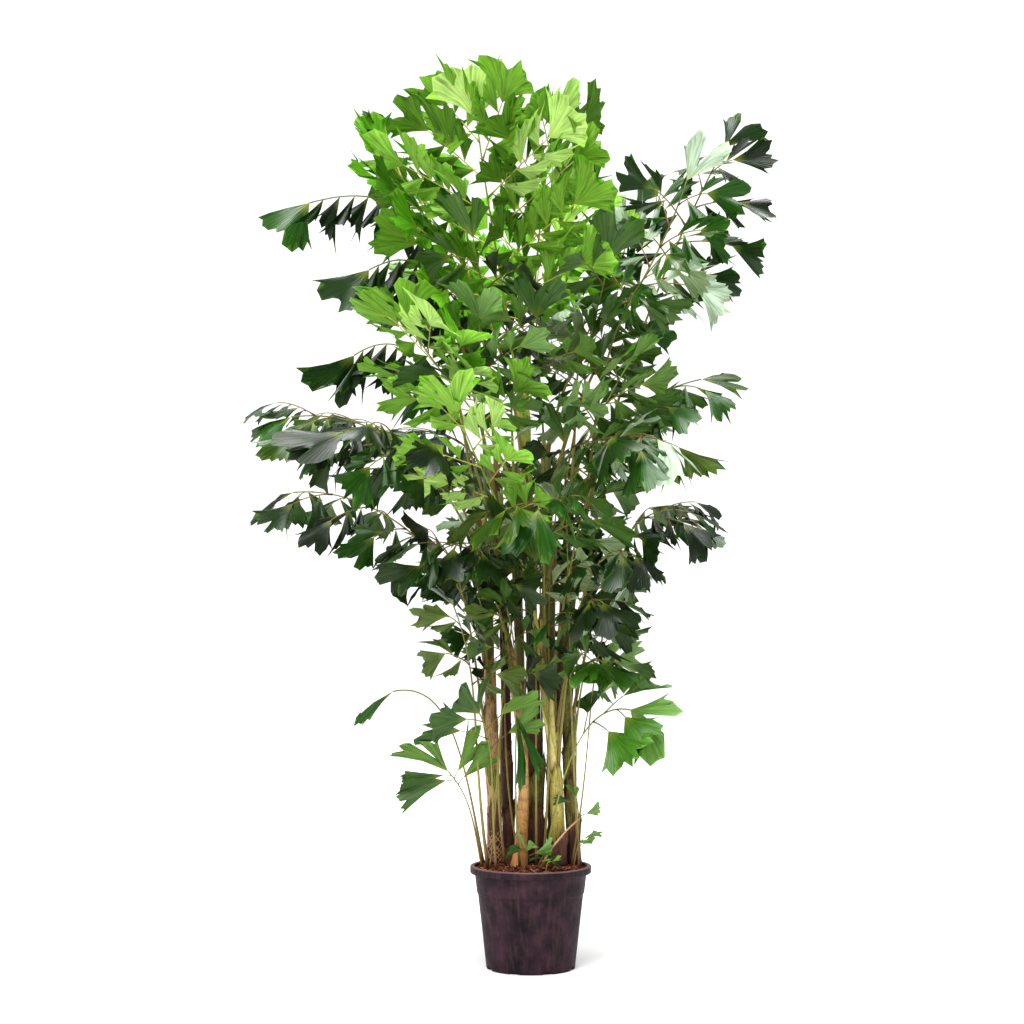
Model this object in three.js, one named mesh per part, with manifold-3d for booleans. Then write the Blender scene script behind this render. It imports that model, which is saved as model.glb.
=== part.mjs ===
// Clustering fishtail palm in a nursery pot: a clump of canes with twice-divided fronds, three metres tall.
// Millimetres, +Z up. The origin is on the floor, at the centre of the pot's flat underside.
// The front of the plant faces -Y and its right side +X.

import * as THREE from "three";
import { mergeVertices } from "three/addons/utils/BufferGeometryUtils.js";
import Module from "manifold-3d";

const wasm = await Module();
wasm.setup();

const UP = new THREE.Vector3(0, 0, 1);
const DOWN = new THREE.Vector3(0, 0, -1);
const GAP = 0.3; // between touching solids
const SLIVER = 0.1; // a cut's edges and faces finer than this are drawn together
const mix = THREE.MathUtils.lerp;
const degToRad = THREE.MathUtils.degToRad;

// The pot: a tapered tub with a collar and a heavy rim.
const POT = {
  height: 335,
  rimRadius: 200,
  rimDepth: 24,
  rimRound: 3,
  rimSlope: 1,
  collarTopRadius: 185,
  collarFootRadius: 177,
  collarFootHeight: 247,
  ledge: 3,
  footRadius: 146,
  wall: 3.5,
  floor: 4,
  sides: 28,
  drains: 8,
  drainWidth: 28,
  drainHeight: 9,
};

// The soil nearly fills the pot and stands a little above the rim round the canes.
const SOIL = { top: 338, edgeTop: 324, plateauRadius: 172 };

// Each cane runs from the soil to its growing tip. foot and bend are x and y, and top is x, y and z.
const CANES = {
  left: { foot: [-117, 20], bend: [-128, 20], top: [-160, 10, 1500], radius: 21 },
  left_back: { foot: [-72, 62], bend: [-80, 80], top: [-110, 100, 1650], radius: 18 },
  pale: { foot: [-40, -35], bend: [5, -45], top: [-70, -70, 1060], radius: 20 },
  brown: { foot: [22, 30], bend: [10, 40], top: [-25, 40, 1900], radius: 24 },
  back: { foot: [-20, 125], bend: [-30, 150], top: [-50, 190, 1500], radius: 17 },
  bent: { foot: [94, -22], bend: [85, -20], top: [15, -50, 1150], radius: 21 },
  yellow: { foot: [80, 52], bend: [70, 50], top: [45, 60, 1750], radius: 20 },
  right: { foot: [146, 16], bend: [108, 5], top: [120, 0, 1250], radius: 18 },
  right_back: { foot: [75, 118], bend: [95, 140], top: [135, 185, 1550], radius: 17 },
};
const CANE_SIDES = 8;
const CANE_RINGS = 6;
const CANE_RING_POWER = 1.6; // above 1 brings the rings together in the flare
const CANE_TIP_SHARE = 0.6; // radius at the growing tip, as a share of the radius above the foot
const FLARE = { share: 0.4, height: 55 }; // the swelling at the foot, and how fast it dies away

// The three ages of frond. sag is how far a side branch hangs, as a share of its length, and
// hang how far a leaflet hangs below its branch, in degrees.
const YOUNG = { sag: 0.03, hang: 8, colour: 0x5fae22 };
const MIDDLE = { sag: 0.12, hang: 32, colour: 0x3f8a2a };
const GROWN = { sag: 0.26, hang: 60, colour: 0x2f5a2c };

// The fronds. leaves is the height at which the stalk leaves its cane, or foot its place in the soil.
// tip is where the rib ends, pitch its slope there in degrees, and lift how straight up it sets out.
// stalk is the bare share of the rib, pairs the side branches on each side, spread the longest branch,
// and leaf a leaflet's length. roll turns the blade about its rib, in degrees, and split is where a
// strongly arched frond is parted in two.
const FRONDS = {
  top_centre: {
    cane: "brown", leaves: 1650, tip: [-175, -300, 2755], pitch: 75, lift: 0.45,
    stalk: 0.4, pairs: 4, spread: 360, leaf: 178, age: YOUNG,
  },
  top_right: {
    cane: "brown", leaves: 1780, tip: [75, -200, 2745], pitch: 62, lift: 0.4, roll: 30,
    stalk: 0.35, pairs: 3, spread: 320, leaf: 168, age: YOUNG,
  },
  top_left: {
    cane: "brown", leaves: 1720, tip: [-470, -120, 2660], pitch: 50, lift: 0.5, roll: -30,
    stalk: 0.4, pairs: 3, spread: 300, leaf: 168, age: YOUNG,
  },
  left_high_arch: {
    cane: "left_back", leaves: 1500, tip: [-735, -60, 2530], pitch: -18, lift: 0.78, roll: -10, split: 0.46,
    stalk: 0.5, pairs: 3, spread: 170, leaf: 150, age: GROWN,
  },
  left_second_arch: {
    cane: "left", leaves: 1380, tip: [-550, -150, 2290], pitch: -30, lift: 0.75, split: 0.46,
    stalk: 0.5, pairs: 3, spread: 160, leaf: 165, age: GROWN,
  },
  left_mid_arch: {
    cane: "left_back", leaves: 1300, tip: [-585, 60, 2045], pitch: -35, lift: 0.6, roll: -15, split: 0.42,
    stalk: 0.45, pairs: 3, spread: 170, leaf: 160, age: GROWN,
  },
  bright_left: {
    cane: "brown", leaves: 1350, tip: [-385, -380, 2080], pitch: 50, lift: 0.5,
    stalk: 0.45, pairs: 3, spread: 260, leaf: 175, age: YOUNG,
  },
  bright_low: {
    cane: "bent", leaves: 990, tip: [-230, -470, 1790], pitch: 55, lift: 0.45,
    stalk: 0.5, pairs: 2, spread: 180, leaf: 150, age: YOUNG,
  },
  left_long: {
    cane: "pale", leaves: 980, tip: [-775, -220, 1800], pitch: -8, lift: 0.45, roll: -25,
    stalk: 0.42, pairs: 4, spread: 300, leaf: 165, age: GROWN,
  },
  left_front: {
    cane: "pale", leaves: 860, tip: [-575, -460, 1730], pitch: -15, lift: 0.5,
    stalk: 0.42, pairs: 3, spread: 280, leaf: 180, age: GROWN,
  },
  left_low: {
    cane: "left", leaves: 995, tip: [-805, 120, 1575], pitch: -5, lift: 0.4, roll: -25,
    stalk: 0.5, pairs: 3, spread: 190, leaf: 150, age: GROWN,
  },
  left_lower: {
    cane: "left", leaves: 634, tip: [-430, -80, 1400], pitch: -30, lift: 0.5,
    stalk: 0.45, pairs: 2, spread: 150, leaf: 150, age: GROWN,
  },
  right_tall: {
    cane: "right", leaves: 1200, tip: [655, 20, 2735], pitch: 62, lift: 0.38, roll: 70,
    stalk: 0.62, pairs: 4, spread: 245, leaf: 150, age: GROWN,
  },
  right_high: {
    cane: "yellow", leaves: 1500, tip: [520, -60, 2605], pitch: 72, lift: 0.45, roll: 65,
    stalk: 0.55, pairs: 3, spread: 260, leaf: 165, age: GROWN,
  },
  right_fans: {
    cane: "yellow", leaves: 1640, tip: [245, -240, 2295], pitch: 78, lift: 0.45,
    stalk: 0.45, pairs: 2, spread: 200, leaf: 170, age: GROWN,
  },
  right_shelf: {
    cane: "right", leaves: 1022, tip: [480, -340, 2360], pitch: 28, lift: 0.55, roll: 20,
    stalk: 0.5, pairs: 3, spread: 180, leaf: 148, age: GROWN,
  },
  right_bright: {
    cane: "bent", leaves: 1090, tip: [315, -300, 1970], pitch: 50, lift: 0.45,
    stalk: 0.6, pairs: 2, spread: 160, leaf: 150, age: MIDDLE,
  },
  right_mid: {
    cane: "right", leaves: 890, tip: [565, -60, 1940], pitch: 10, lift: 0.5, roll: 25,
    stalk: 0.45, pairs: 3, spread: 230, leaf: 155, age: GROWN,
  },
  right_front: {
    cane: "bent", leaves: 858, tip: [395, -380, 1715], pitch: -25, lift: 0.5, roll: 15,
    stalk: 0.45, pairs: 3, spread: 230, leaf: 180, age: GROWN,
  },
  right_low: {
    cane: "right", leaves: 740, tip: [530, -100, 1495], pitch: -18, lift: 0.5, roll: 25,
    stalk: 0.5, pairs: 3, spread: 200, leaf: 145, age: GROWN,
  },
  right_lower: {
    cane: "bent", leaves: 700, tip: [330, -300, 1350], pitch: -25, lift: 0.5,
    stalk: 0.45, pairs: 2, spread: 150, leaf: 155, age: GROWN,
  },
  right_under: {
    cane: "bent", leaves: 584, tip: [225, -360, 1200], pitch: -20, lift: 0.5,
    stalk: 0.5, pairs: 2, spread: 130, leaf: 165, age: GROWN,
  },
  right_foot: {
    cane: "right", leaves: 560, tip: [230, -220, 1010], pitch: -20, lift: 0.6,
    stalk: 0.5, pairs: 2, spread: 135, leaf: 150, age: MIDDLE,
  },
  centre_dark: {
    cane: "brown", leaves: 1540, tip: [-185, -330, 2360], pitch: 70, lift: 0.5,
    stalk: 0.5, pairs: 2, spread: 190, leaf: 165, age: GROWN,
  },
  centre_fan: {
    cane: "yellow", leaves: 1350, tip: [15, -380, 2095], pitch: 60, lift: 0.5,
    stalk: 0.5, pairs: 2, spread: 190, leaf: 165, age: MIDDLE,
  },
  centre_left_fan: {
    cane: "left", leaves: 1190, tip: [-165, -420, 2080], pitch: 60, lift: 0.5,
    stalk: 0.55, pairs: 2, spread: 190, leaf: 160, age: MIDDLE,
  },
  centre_right: {
    cane: "yellow", leaves: 1190, tip: [200, -200, 2055], pitch: 70, lift: 0.5,
    stalk: 0.5, pairs: 3, spread: 210, leaf: 165, age: GROWN,
  },
  left_dark: {
    cane: "left", leaves: 810, tip: [-245, -360, 1370], pitch: -30, lift: 0.5,
    stalk: 0.42, pairs: 3, spread: 220, leaf: 155, age: GROWN,
  },
  centre_front: {
    cane: "bent", leaves: 920, tip: [20, -470, 1490], pitch: -30, lift: 0.55,
    stalk: 0.45, pairs: 2, spread: 220, leaf: 190, age: GROWN,
  },
  back_top: {
    cane: "brown", leaves: 1820, tip: [60, 300, 2560], pitch: 65, lift: 0.45,
    stalk: 0.35, pairs: 3, spread: 330, leaf: 165, age: YOUNG,
  },
  back_left_high: {
    cane: "left_back", leaves: 1580, tip: [-260, 380, 2350], pitch: 30, lift: 0.55,
    stalk: 0.4, pairs: 3, spread: 270, leaf: 160, age: MIDDLE,
  },
  back_right_high: {
    cane: "right_back", leaves: 1460, tip: [260, 400, 2330], pitch: 35, lift: 0.55,
    stalk: 0.4, pairs: 3, spread: 270, leaf: 155, age: GROWN,
  },
  back_inner: {
    cane: "back", leaves: 1450, tip: [-90, 360, 2250], pitch: 60, lift: 0.5,
    stalk: 0.4, pairs: 3, spread: 250, leaf: 150, age: MIDDLE,
  },
  back_left: {
    cane: "back", leaves: 1300, tip: [-420, 520, 1800], pitch: -10, lift: 0.55, roll: 25,
    stalk: 0.4, pairs: 3, spread: 270, leaf: 165, age: GROWN,
  },
  back_right: {
    cane: "right_back", leaves: 1330, tip: [280, 600, 1850], pitch: -5, lift: 0.55, roll: -25,
    stalk: 0.4, pairs: 3, spread: 270, leaf: 165, age: GROWN,
  },
  back_middle: {
    cane: "back", leaves: 1120, tip: [-40, 650, 1720], pitch: -15, lift: 0.5,
    stalk: 0.4, pairs: 3, spread: 270, leaf: 165, age: GROWN,
  },
  back_left_low: {
    cane: "back", leaves: 880, tip: [-290, 450, 1350], pitch: -25, lift: 0.5,
    stalk: 0.45, pairs: 2, spread: 190, leaf: 170, age: GROWN,
  },
  back_low: {
    cane: "right_back", leaves: 900, tip: [220, 560, 1400], pitch: -20, lift: 0.5,
    stalk: 0.45, pairs: 2, spread: 220, leaf: 170, age: GROWN,
  },
  shoot_tall: {
    foot: [-140, -60], tip: [-250, -190, 1190], pitch: 60, lift: 0.5,
    stalk: 0.6, pairs: 2, spread: 125, leaf: 130, age: GROWN,
  },
  shoot_right: {
    foot: [40, -85], tip: [285, -260, 875], pitch: -8, lift: 0.4, roll: 35,
    stalk: 0.6, pairs: 2, spread: 120, leaf: 170, age: MIDDLE,
  },
  shoot_left: {
    foot: [-160, -20], tip: [-270, -90, 680], pitch: 45, lift: 0.5, roll: 50,
    stalk: 0.72, pairs: 1, spread: 90, leaf: 165, age: MIDDLE,
  },
  shoot_left_thin: {
    foot: [-155, 35], tip: [-435, -120, 900], pitch: -10, lift: 0.5,
    stalk: 0.85, pairs: 1, spread: 50, leaf: 115, age: GROWN,
  },
  shoot_left_fan: {
    foot: [-112, -100], tip: [-165, -220, 845], pitch: 40, lift: 0.5, roll: 40,
    stalk: 0.65, pairs: 2, spread: 95, leaf: 165, age: MIDDLE,
  },
};

// How every frond is built.
const STALK_ANGLE = degToRad(12); // between a stalk and its cane
const TIP_PULL = 0.33; // how long the rib keeps its end slope, as a share of its chord
const SHOOT_DEPTH = 10; // how far a shoot's line starts below the soil before it is trimmed
const SLENDER = { share: 0.45, fullLength: 1200 }; // a shorter frond has a thinner rib
const LAST_BRANCH = 0.96; // the end of the rib's branched stretch
// Branches at the foot and tip of that stretch: length as a place on a half sine, and angle in degrees.
const BRANCH_FOOT = { place: 0.27, angle: 62 };
const BRANCH_TIP = { place: 0.86, angle: 38 };
const RIB = { halfWidth: 9, tipHalfWidth: 2.4, halfDepth: 8, tipHalfDepth: 2 };
const BRANCH = { halfWidth: 2.2, halfDepth: 1.8, joint: 0.012, fromTip: 0.93 };
const LEAF_HALF_DEPTH = 1.05;
const RIB_BENDS = [0.13, 0.27, 0.42]; // points along the rib below its branches
// Side leaflets of a branch: side, place along it and width of their joint, as shares of its length.
const SIDE_LEAFLETS = [
  { side: 1, at: 0.34, joint: 0.07 },
  { side: -1, at: 0.6, joint: 0.07 },
];
const LEAFLET_ANGLE = degToRad(50);
// A leaflet's outer corners: length as a share of the leaflet's, and the angle from its axis.
const TAIL = { reach: 1, angle: degToRad(12) };
const HEEL = { reach: 0.72, angle: degToRad(30) };
const FISHTAIL = { reach: 1.1, angle: degToRad(27), notch: 0.86, hang: 0.6 };
const LEAST_FACING = 0.3; // cosine of the steepest turn at a leaflet's joint
const HANG_STEP = 5; // degrees
// A branch that would touch something is swung about the rib's normal, lifted or shortened until it has room.
const CLEARANCE = 0.8;
const SWINGS = [0, 12, -12, 24, -24];
const LIFTS = [0, 14, -14, 28, -28, 42];
const SCALES = [1, 0.8, 0.62];

const TRIES = SCALES.flatMap((scale) =>
  SWINGS.flatMap((swing) => LIFTS.map((lift) => ({ swing, lift, scale }))).sort(
    (a, b) => Math.abs(a.swing) + Math.abs(a.lift) - Math.abs(b.swing) - Math.abs(b.lift),
  ),
);

// A closed geometry as a manifold solid, with doubled vertices and collapsed faces taken out.
function solidFrom(geometry) {
  for (const name of ["normal", "uv"]) geometry.deleteAttribute(name);
  const merged = mergeVertices(geometry, 1e-4);
  const faces = [];
  for (let i = 0; i < merged.index.count; i += 3) {
    const [a, b, c] = [0, 1, 2].map((k) => merged.index.getX(i + k));
    if (a !== b && b !== c && c !== a) faces.push(a, b, c);
  }
  return new wasm.Manifold(
    new wasm.Mesh({
      numProp: 3,
      vertProperties: new Float32Array(merged.attributes.position.array),
      triVerts: new Uint32Array(faces),
    }),
  );
}

// A manifold solid as a named mesh.
function meshFrom(solid, name, material) {
  const { vertProperties, triVerts } = solid.getMesh();
  const geometry = new THREE.BufferGeometry();
  geometry.setAttribute("position", new THREE.BufferAttribute(vertProperties, 3));
  geometry.setIndex(new THREE.BufferAttribute(triVerts, 1));
  geometry.computeVertexNormals();
  const mesh = new THREE.Mesh(geometry, material);
  mesh.name = name;
  return mesh;
}

// A profile of [radius, height] pairs turned about the vertical axis.
function turned(profile, sides) {
  const points = profile.map(([r, z]) => new THREE.Vector2(r, z));
  return solidFrom(new THREE.LatheGeometry(points, sides).rotateX(Math.PI / 2));
}

function largest(solid) {
  return solid.decompose().reduce((a, b) => (b.volume() > a.volume() ? b : a));
}

// Radius of the pot's outside below the collar, at a height.
const potWallRadius = (z) =>
  mix(POT.footRadius, POT.collarFootRadius - POT.ledge, z / (POT.collarFootHeight - POT.ledge));

function makePot() {
  const rimFoot = POT.height - POT.rimDepth;
  const ledgeFoot = POT.collarFootHeight - POT.ledge;
  const body = turned(
    [
      [0, 0],
      [POT.footRadius, 0],
      [potWallRadius(ledgeFoot), ledgeFoot],
      [POT.collarFootRadius, POT.collarFootHeight],
      [POT.collarTopRadius, rimFoot],
      [POT.rimRadius - POT.rimSlope, rimFoot],
      [POT.rimRadius, POT.height - POT.rimRound],
      [POT.rimRadius - POT.rimRound, POT.height],
      [POT.collarTopRadius, POT.height],
      [POT.collarTopRadius - POT.wall, rimFoot],
      [POT.collarFootRadius - POT.wall, POT.collarFootHeight],
      [potWallRadius(ledgeFoot) - POT.wall, ledgeFoot],
      [potWallRadius(POT.floor) - POT.wall, POT.floor],
      [0, POT.floor],
    ],
    POT.sides,
  );
  let pot = body;
  for (let i = 0; i < POT.drains; i++) {
    const slot = new THREE.BoxGeometry(POT.drainWidth, POT.drainWidth, 2 * POT.drainHeight);
    slot.translate(0, -POT.footRadius, 0).rotateZ(((i + 0.5) * 2 * Math.PI) / POT.drains);
    pot = pot.subtract(solidFrom(slot));
  }
  return pot;
}

function makeSoil() {
  const ledgeFoot = POT.collarFootHeight - POT.ledge;
  const inset = POT.wall + GAP;
  return turned(
    [
      [0, POT.floor + GAP],
      [potWallRadius(POT.floor) - inset, POT.floor + GAP],
      [potWallRadius(ledgeFoot) - inset, ledgeFoot],
      [POT.collarFootRadius - inset, POT.collarFootHeight],
      [POT.collarTopRadius - inset, POT.height - POT.rimDepth],
      [POT.collarTopRadius - inset, SOIL.edgeTop],
      [SOIL.plateauRadius, SOIL.top],
      [0, SOIL.top],
    ],
    POT.sides,
  );
}

// The cane's centre at a height: a parabola from the foot to the top, bowed towards bend.
function caneCentre(cane, z) {
  const s = (z - SOIL.top) / (cane.top[2] - SOIL.top);
  const [x, y] = [0, 1].map(
    (k) => (1 - s) ** 2 * cane.foot[k] + 2 * s * (1 - s) * cane.bend[k] + s ** 2 * cane.top[k],
  );
  return new THREE.Vector3(x, y, z);
}

function caneRadius(cane, z) {
  const s = (z - SOIL.top) / (cane.top[2] - SOIL.top);
  const swelling = FLARE.share * Math.exp(-(z - SOIL.top) / FLARE.height);
  return cane.radius * (mix(1, CANE_TIP_SHARE, s) + swelling);
}

// A cane as level rings, closer together in the flare, with a flat cut at the soil. grown widens it.
function makeCane(cane, grown = 0) {
  const foot = SOIL.top + GAP - grown;
  const positions = [];
  const faces = [];
  for (let i = 0; i <= CANE_RINGS; i++) {
    const z = mix(foot, cane.top[2] + grown, (i / CANE_RINGS) ** CANE_RING_POWER);
    const centre = caneCentre(cane, z);
    const radius = caneRadius(cane, z) + grown;
    for (let k = 0; k < CANE_SIDES; k++) {
      const angle = (2 * Math.PI * k) / CANE_SIDES;
      positions.push(centre.x + radius * Math.cos(angle), centre.y + radius * Math.sin(angle), z);
      if (i === CANE_RINGS) continue;
      const [a, b] = [i * CANE_SIDES + k, i * CANE_SIDES + ((k + 1) % CANE_SIDES)];
      faces.push(a, b, b + CANE_SIDES, a, b + CANE_SIDES, a + CANE_SIDES);
    }
  }
  const last = CANE_RINGS * CANE_SIDES;
  for (let k = 1; k < CANE_SIDES - 1; k++) faces.push(0, k + 1, k, last, last + k, last + k + 1);
  const geometry = new THREE.BufferGeometry();
  geometry.setAttribute("position", new THREE.Float32BufferAttribute(positions, 3));
  geometry.setIndex(faces);
  return solidFrom(geometry);
}

// An open surface of triangles that is thickened both ways along each point's normal.
class Blade {
  points = [];
  normals = [];
  depths = [];
  faces = [];

  add(point, normal, halfDepth) {
    this.points.push(point);
    this.normals.push(normal);
    this.depths.push(halfDepth);
    return this.points.length - 1;
  }

  // The corner at a point that the blade already has.
  corner(index) {
    return { index, point: this.points[index], normal: this.normals[index] };
  }

  // A polygon, anticlockwise from above, as a fan from its first corner.
  fan(...corners) {
    for (let i = 1; i < corners.length - 1; i++)
      this.faces.push([corners[0], corners[i], corners[i + 1]]);
  }

  // A strip between two rails of { at, index }, each sorted by at. near is the rail on the -side.
  strip(near, far) {
    let [i, j] = [0, 0];
    while (i < near.length - 1 || j < far.length - 1) {
      const nearNext = i < near.length - 1 ? near[i + 1].at : Infinity;
      const farNext = j < far.length - 1 ? far[j + 1].at : Infinity;
      if (nearNext <= farNext) this.fan(near[i].index, near[++i].index, far[j].index);
      else this.fan(near[i].index, far[++j].index, far[j - 1].index);
    }
  }

  solid() {
    const n = this.points.length;
    const positions = [1, -1].flatMap((way) =>
      this.points.flatMap((p, i) =>
        p.clone().addScaledVector(this.normals[i], way * this.depths[i]).toArray(),
      ),
    );
    const inner = new Set();
    for (const [a, b, c] of this.faces)
      for (const [p, q] of [[a, b], [b, c], [c, a]]) inner.add(p * n + q);
    const faces = [];
    for (const [a, b, c] of this.faces) {
      faces.push(a, b, c, c + n, b + n, a + n);
      for (const [p, q] of [[a, b], [b, c], [c, a]])
        if (!inner.has(q * n + p)) faces.push(q, p, p + n, q, p + n, q + n);
    }
    const geometry = new THREE.BufferGeometry();
    geometry.setAttribute("position", new THREE.Float32BufferAttribute(positions, 3));
    geometry.setIndex(faces);
    return solidFrom(geometry);
  }
}

// The rib's line: it leaves the cane or the soil steeply and ends at the tip with its own pitch.
function ribCurve(frond) {
  const cane = CANES[frond.cane];
  const start = cane
    ? caneCentre(cane, frond.leaves)
    : new THREE.Vector3(frond.foot[0], frond.foot[1], SOIL.top - SHOOT_DEPTH);
  const tip = new THREE.Vector3(...frond.tip);
  const outward = tip.clone().sub(start).setZ(0).normalize();
  const chord = tip.distanceTo(start);
  const pitch = degToRad(frond.pitch);
  const rise = start
    .clone()
    .addScaledVector(UP, Math.cos(STALK_ANGLE) * chord * frond.lift)
    .addScaledVector(outward, Math.sin(STALK_ANGLE) * chord * frond.lift);
  const approach = tip
    .clone()
    .addScaledVector(outward, -Math.cos(pitch) * chord * TIP_PULL)
    .addScaledVector(UP, -Math.sin(pitch) * chord * TIP_PULL);
  const curve = new THREE.CubicBezierCurve3(start, rise, approach, tip);
  const roll = degToRad(frond.roll ?? 0);
  return { curve, chord, roll, side: UP.clone().cross(outward) };
}

// Position, direction, sideways and upper normal of the rib at t.
function ribFrame(rib, t) {
  const along = rib.curve.getTangent(t);
  const side = rib.side.clone().addScaledVector(along, -rib.side.dot(along)).normalize();
  side.applyAxisAngle(along, rib.roll);
  return { point: rib.curve.getPoint(t), along, side, normal: along.clone().cross(side) };
}

const ribScale = (rib) => Math.min(1, mix(SLENDER.share, 1, rib.chord / SLENDER.fullLength));

// Where each side branch joins the rib: the sides take turns from the stalk to the tip.
function branchPlaces(frond) {
  const count = 2 * frond.pairs;
  return Array.from({ length: count }, (_, i) => {
    const share = (i + 0.5) / count;
    return { t: mix(frond.stalk, LAST_BRANCH, share), side: i % 2 ? -1 : 1, share };
  });
}

// Length and angle of a branch by its place in the blade: longest below the middle.
const branchLength = (frond, share) =>
  frond.spread * Math.sin(Math.PI * mix(BRANCH_FOOT.place, BRANCH_TIP.place, share));
const branchAngle = (share) => degToRad(mix(BRANCH_FOOT.angle, BRANCH_TIP.angle, share));

// A leaflet's axis, let down by its hang, and the blade's normal turned square to it.
function hung(axis, normal, degrees) {
  const hang = degToRad(degrees);
  axis.multiplyScalar(Math.cos(hang)).addScaledVector(DOWN, Math.sin(hang)).normalize();
  return { axis, normal: normal.clone().addScaledVector(axis, -normal.dot(axis)).normalize() };
}

// Whether each triangle of a fan faces the way its corners do. If not, the thickened blade would be folded
// through itself there.
function isUnfolded(corners) {
  const face = new THREE.Vector3();
  return corners.slice(2).every((last, i) => {
    const triangle = [corners[0], corners[i + 1], last];
    new THREE.Triangle(...triangle.map((c) => c.point)).getNormal(face);
    return triangle.every((c) => face.dot(c.normal) > LEAST_FACING);
  });
}

// A leaflet, let down by the most of its hang that doesn't fold it through its joint. outline gives its
// corners from its axis and normal.
function addHung(blade, out, normal, degrees, outline) {
  let hang = degrees;
  let corners = outline(hung(out.clone(), normal, hang));
  while (hang > 0 && !isUnfolded(corners)) {
    hang = Math.max(0, hang - HANG_STEP);
    corners = outline(hung(out.clone(), normal, hang));
  }
  blade.fan(...corners.map((c) => c.index ?? blade.add(c.point, c.normal, LEAF_HALF_DEPTH)));
}

// One leaflet on the two rail points a and b of a branch, a nearer the rib.
function addLeaflet(blade, a, b, side, frame, frond, length) {
  const out = frame.along
    .clone()
    .multiplyScalar(Math.cos(LEAFLET_ANGLE))
    .addScaledVector(frame.side, side * Math.sin(LEAFLET_ANGLE));
  const [low, high] = [blade.corner(a), blade.corner(b)];
  const root = low.point.clone().lerp(high.point, 0.5);
  addHung(blade, out, frame.normal, frond.age.hang, ({ axis, normal }) => {
    const corner = ({ reach, angle }, turn) => {
      const way = axis.clone().applyAxisAngle(normal, turn * angle);
      return { point: root.clone().addScaledVector(way, reach * length), normal };
    };
    const [tail, heel] = [corner(TAIL, -side), corner(HEEL, side)];
    return side > 0 ? [low, high, tail, heel] : [high, low, heel, tail];
  });
}

// The leaflet at the end of a rib or branch: a fishtail of two points with a notch between.
function addFishtail(blade, near, far, frame, frond, length) {
  const [first, last] = [blade.corner(near), blade.corner(far)];
  const root = first.point.clone().lerp(last.point, 0.5);
  addHung(blade, frame.along, frame.normal, frond.age.hang * FISHTAIL.hang, ({ axis, normal }) => {
    const outer = [-1, 0, 1].map((turn) => {
      const way = axis.clone().applyAxisAngle(normal, turn * FISHTAIL.angle);
      const reach = length * FISHTAIL.reach * (turn ? 1 : FISHTAIL.notch);
      return { point: root.clone().addScaledVector(way, reach), normal };
    });
    return [first, ...outer, last];
  });
}

// A side branch from the rib's points a (nearer the stalk) and b, bent by its sag.
function addBranch(blade, a, b, frond, rib, place, { swing, lift, scale }) {
  const frame = ribFrame(rib, place.t);
  const angle = branchAngle(place.share) + degToRad(swing);
  const length = branchLength(frond, place.share) * scale;
  const tilt = degToRad(lift);
  const out = frame.along
    .clone()
    .multiplyScalar(Math.cos(angle))
    .addScaledVector(frame.side, place.side * Math.sin(angle))
    .multiplyScalar(Math.cos(tilt))
    .addScaledVector(frame.normal, Math.sin(tilt));
  const root = blade.points[a].clone().lerp(blade.points[b], 0.5);
  const at = (u) => {
    const along = out.clone().addScaledVector(DOWN, 2 * frond.age.sag * u).normalize();
    const normal = frame.normal.clone().addScaledVector(along, -frame.normal.dot(along)).normalize();
    const point = root
      .clone()
      .addScaledVector(out, length * u)
      .addScaledVector(DOWN, frond.age.sag * length * u * u);
    return { point, along, normal, side: normal.clone().cross(along) };
  };
  const railPoint = (u, way) => {
    const f = at(u);
    const p = f.point.addScaledVector(f.side, way * BRANCH.halfWidth);
    return { at: u, index: blade.add(p, f.normal, BRANCH.halfDepth) };
  };
  // On the rib's own side the branch's far rail starts at the joint's lower point.
  const [lower, upper] = place.side > 0 ? [b, a] : [a, b];
  const rails = { 1: [{ at: 0, index: upper }], [-1]: [{ at: 0, index: lower }] };
  for (const { side, at: u, joint } of SIDE_LEAFLETS) {
    const from = railPoint(u, side);
    const to = railPoint(u + joint, side);
    rails[side].push(from, to);
    addLeaflet(blade, from.index, to.index, side, at(u + joint / 2), frond, frond.leaf * scale);
  }
  for (const way of [1, -1]) rails[way].push(railPoint(BRANCH.fromTip, way));
  blade.strip(rails[-1], rails[1]);
  const [near, far] = [rails[-1].at(-1).index, rails[1].at(-1).index];
  addFishtail(blade, near, far, at(BRANCH.fromTip), frond, frond.leaf * scale);
}

const ribHalfWidth = (rib, t) => mix(RIB.halfWidth, RIB.tipHalfWidth, Math.sqrt(t)) * ribScale(rib);
const ribHalfDepth = (rib, t) => mix(RIB.halfDepth, RIB.tipHalfDepth, Math.sqrt(t)) * ribScale(rib);

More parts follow.
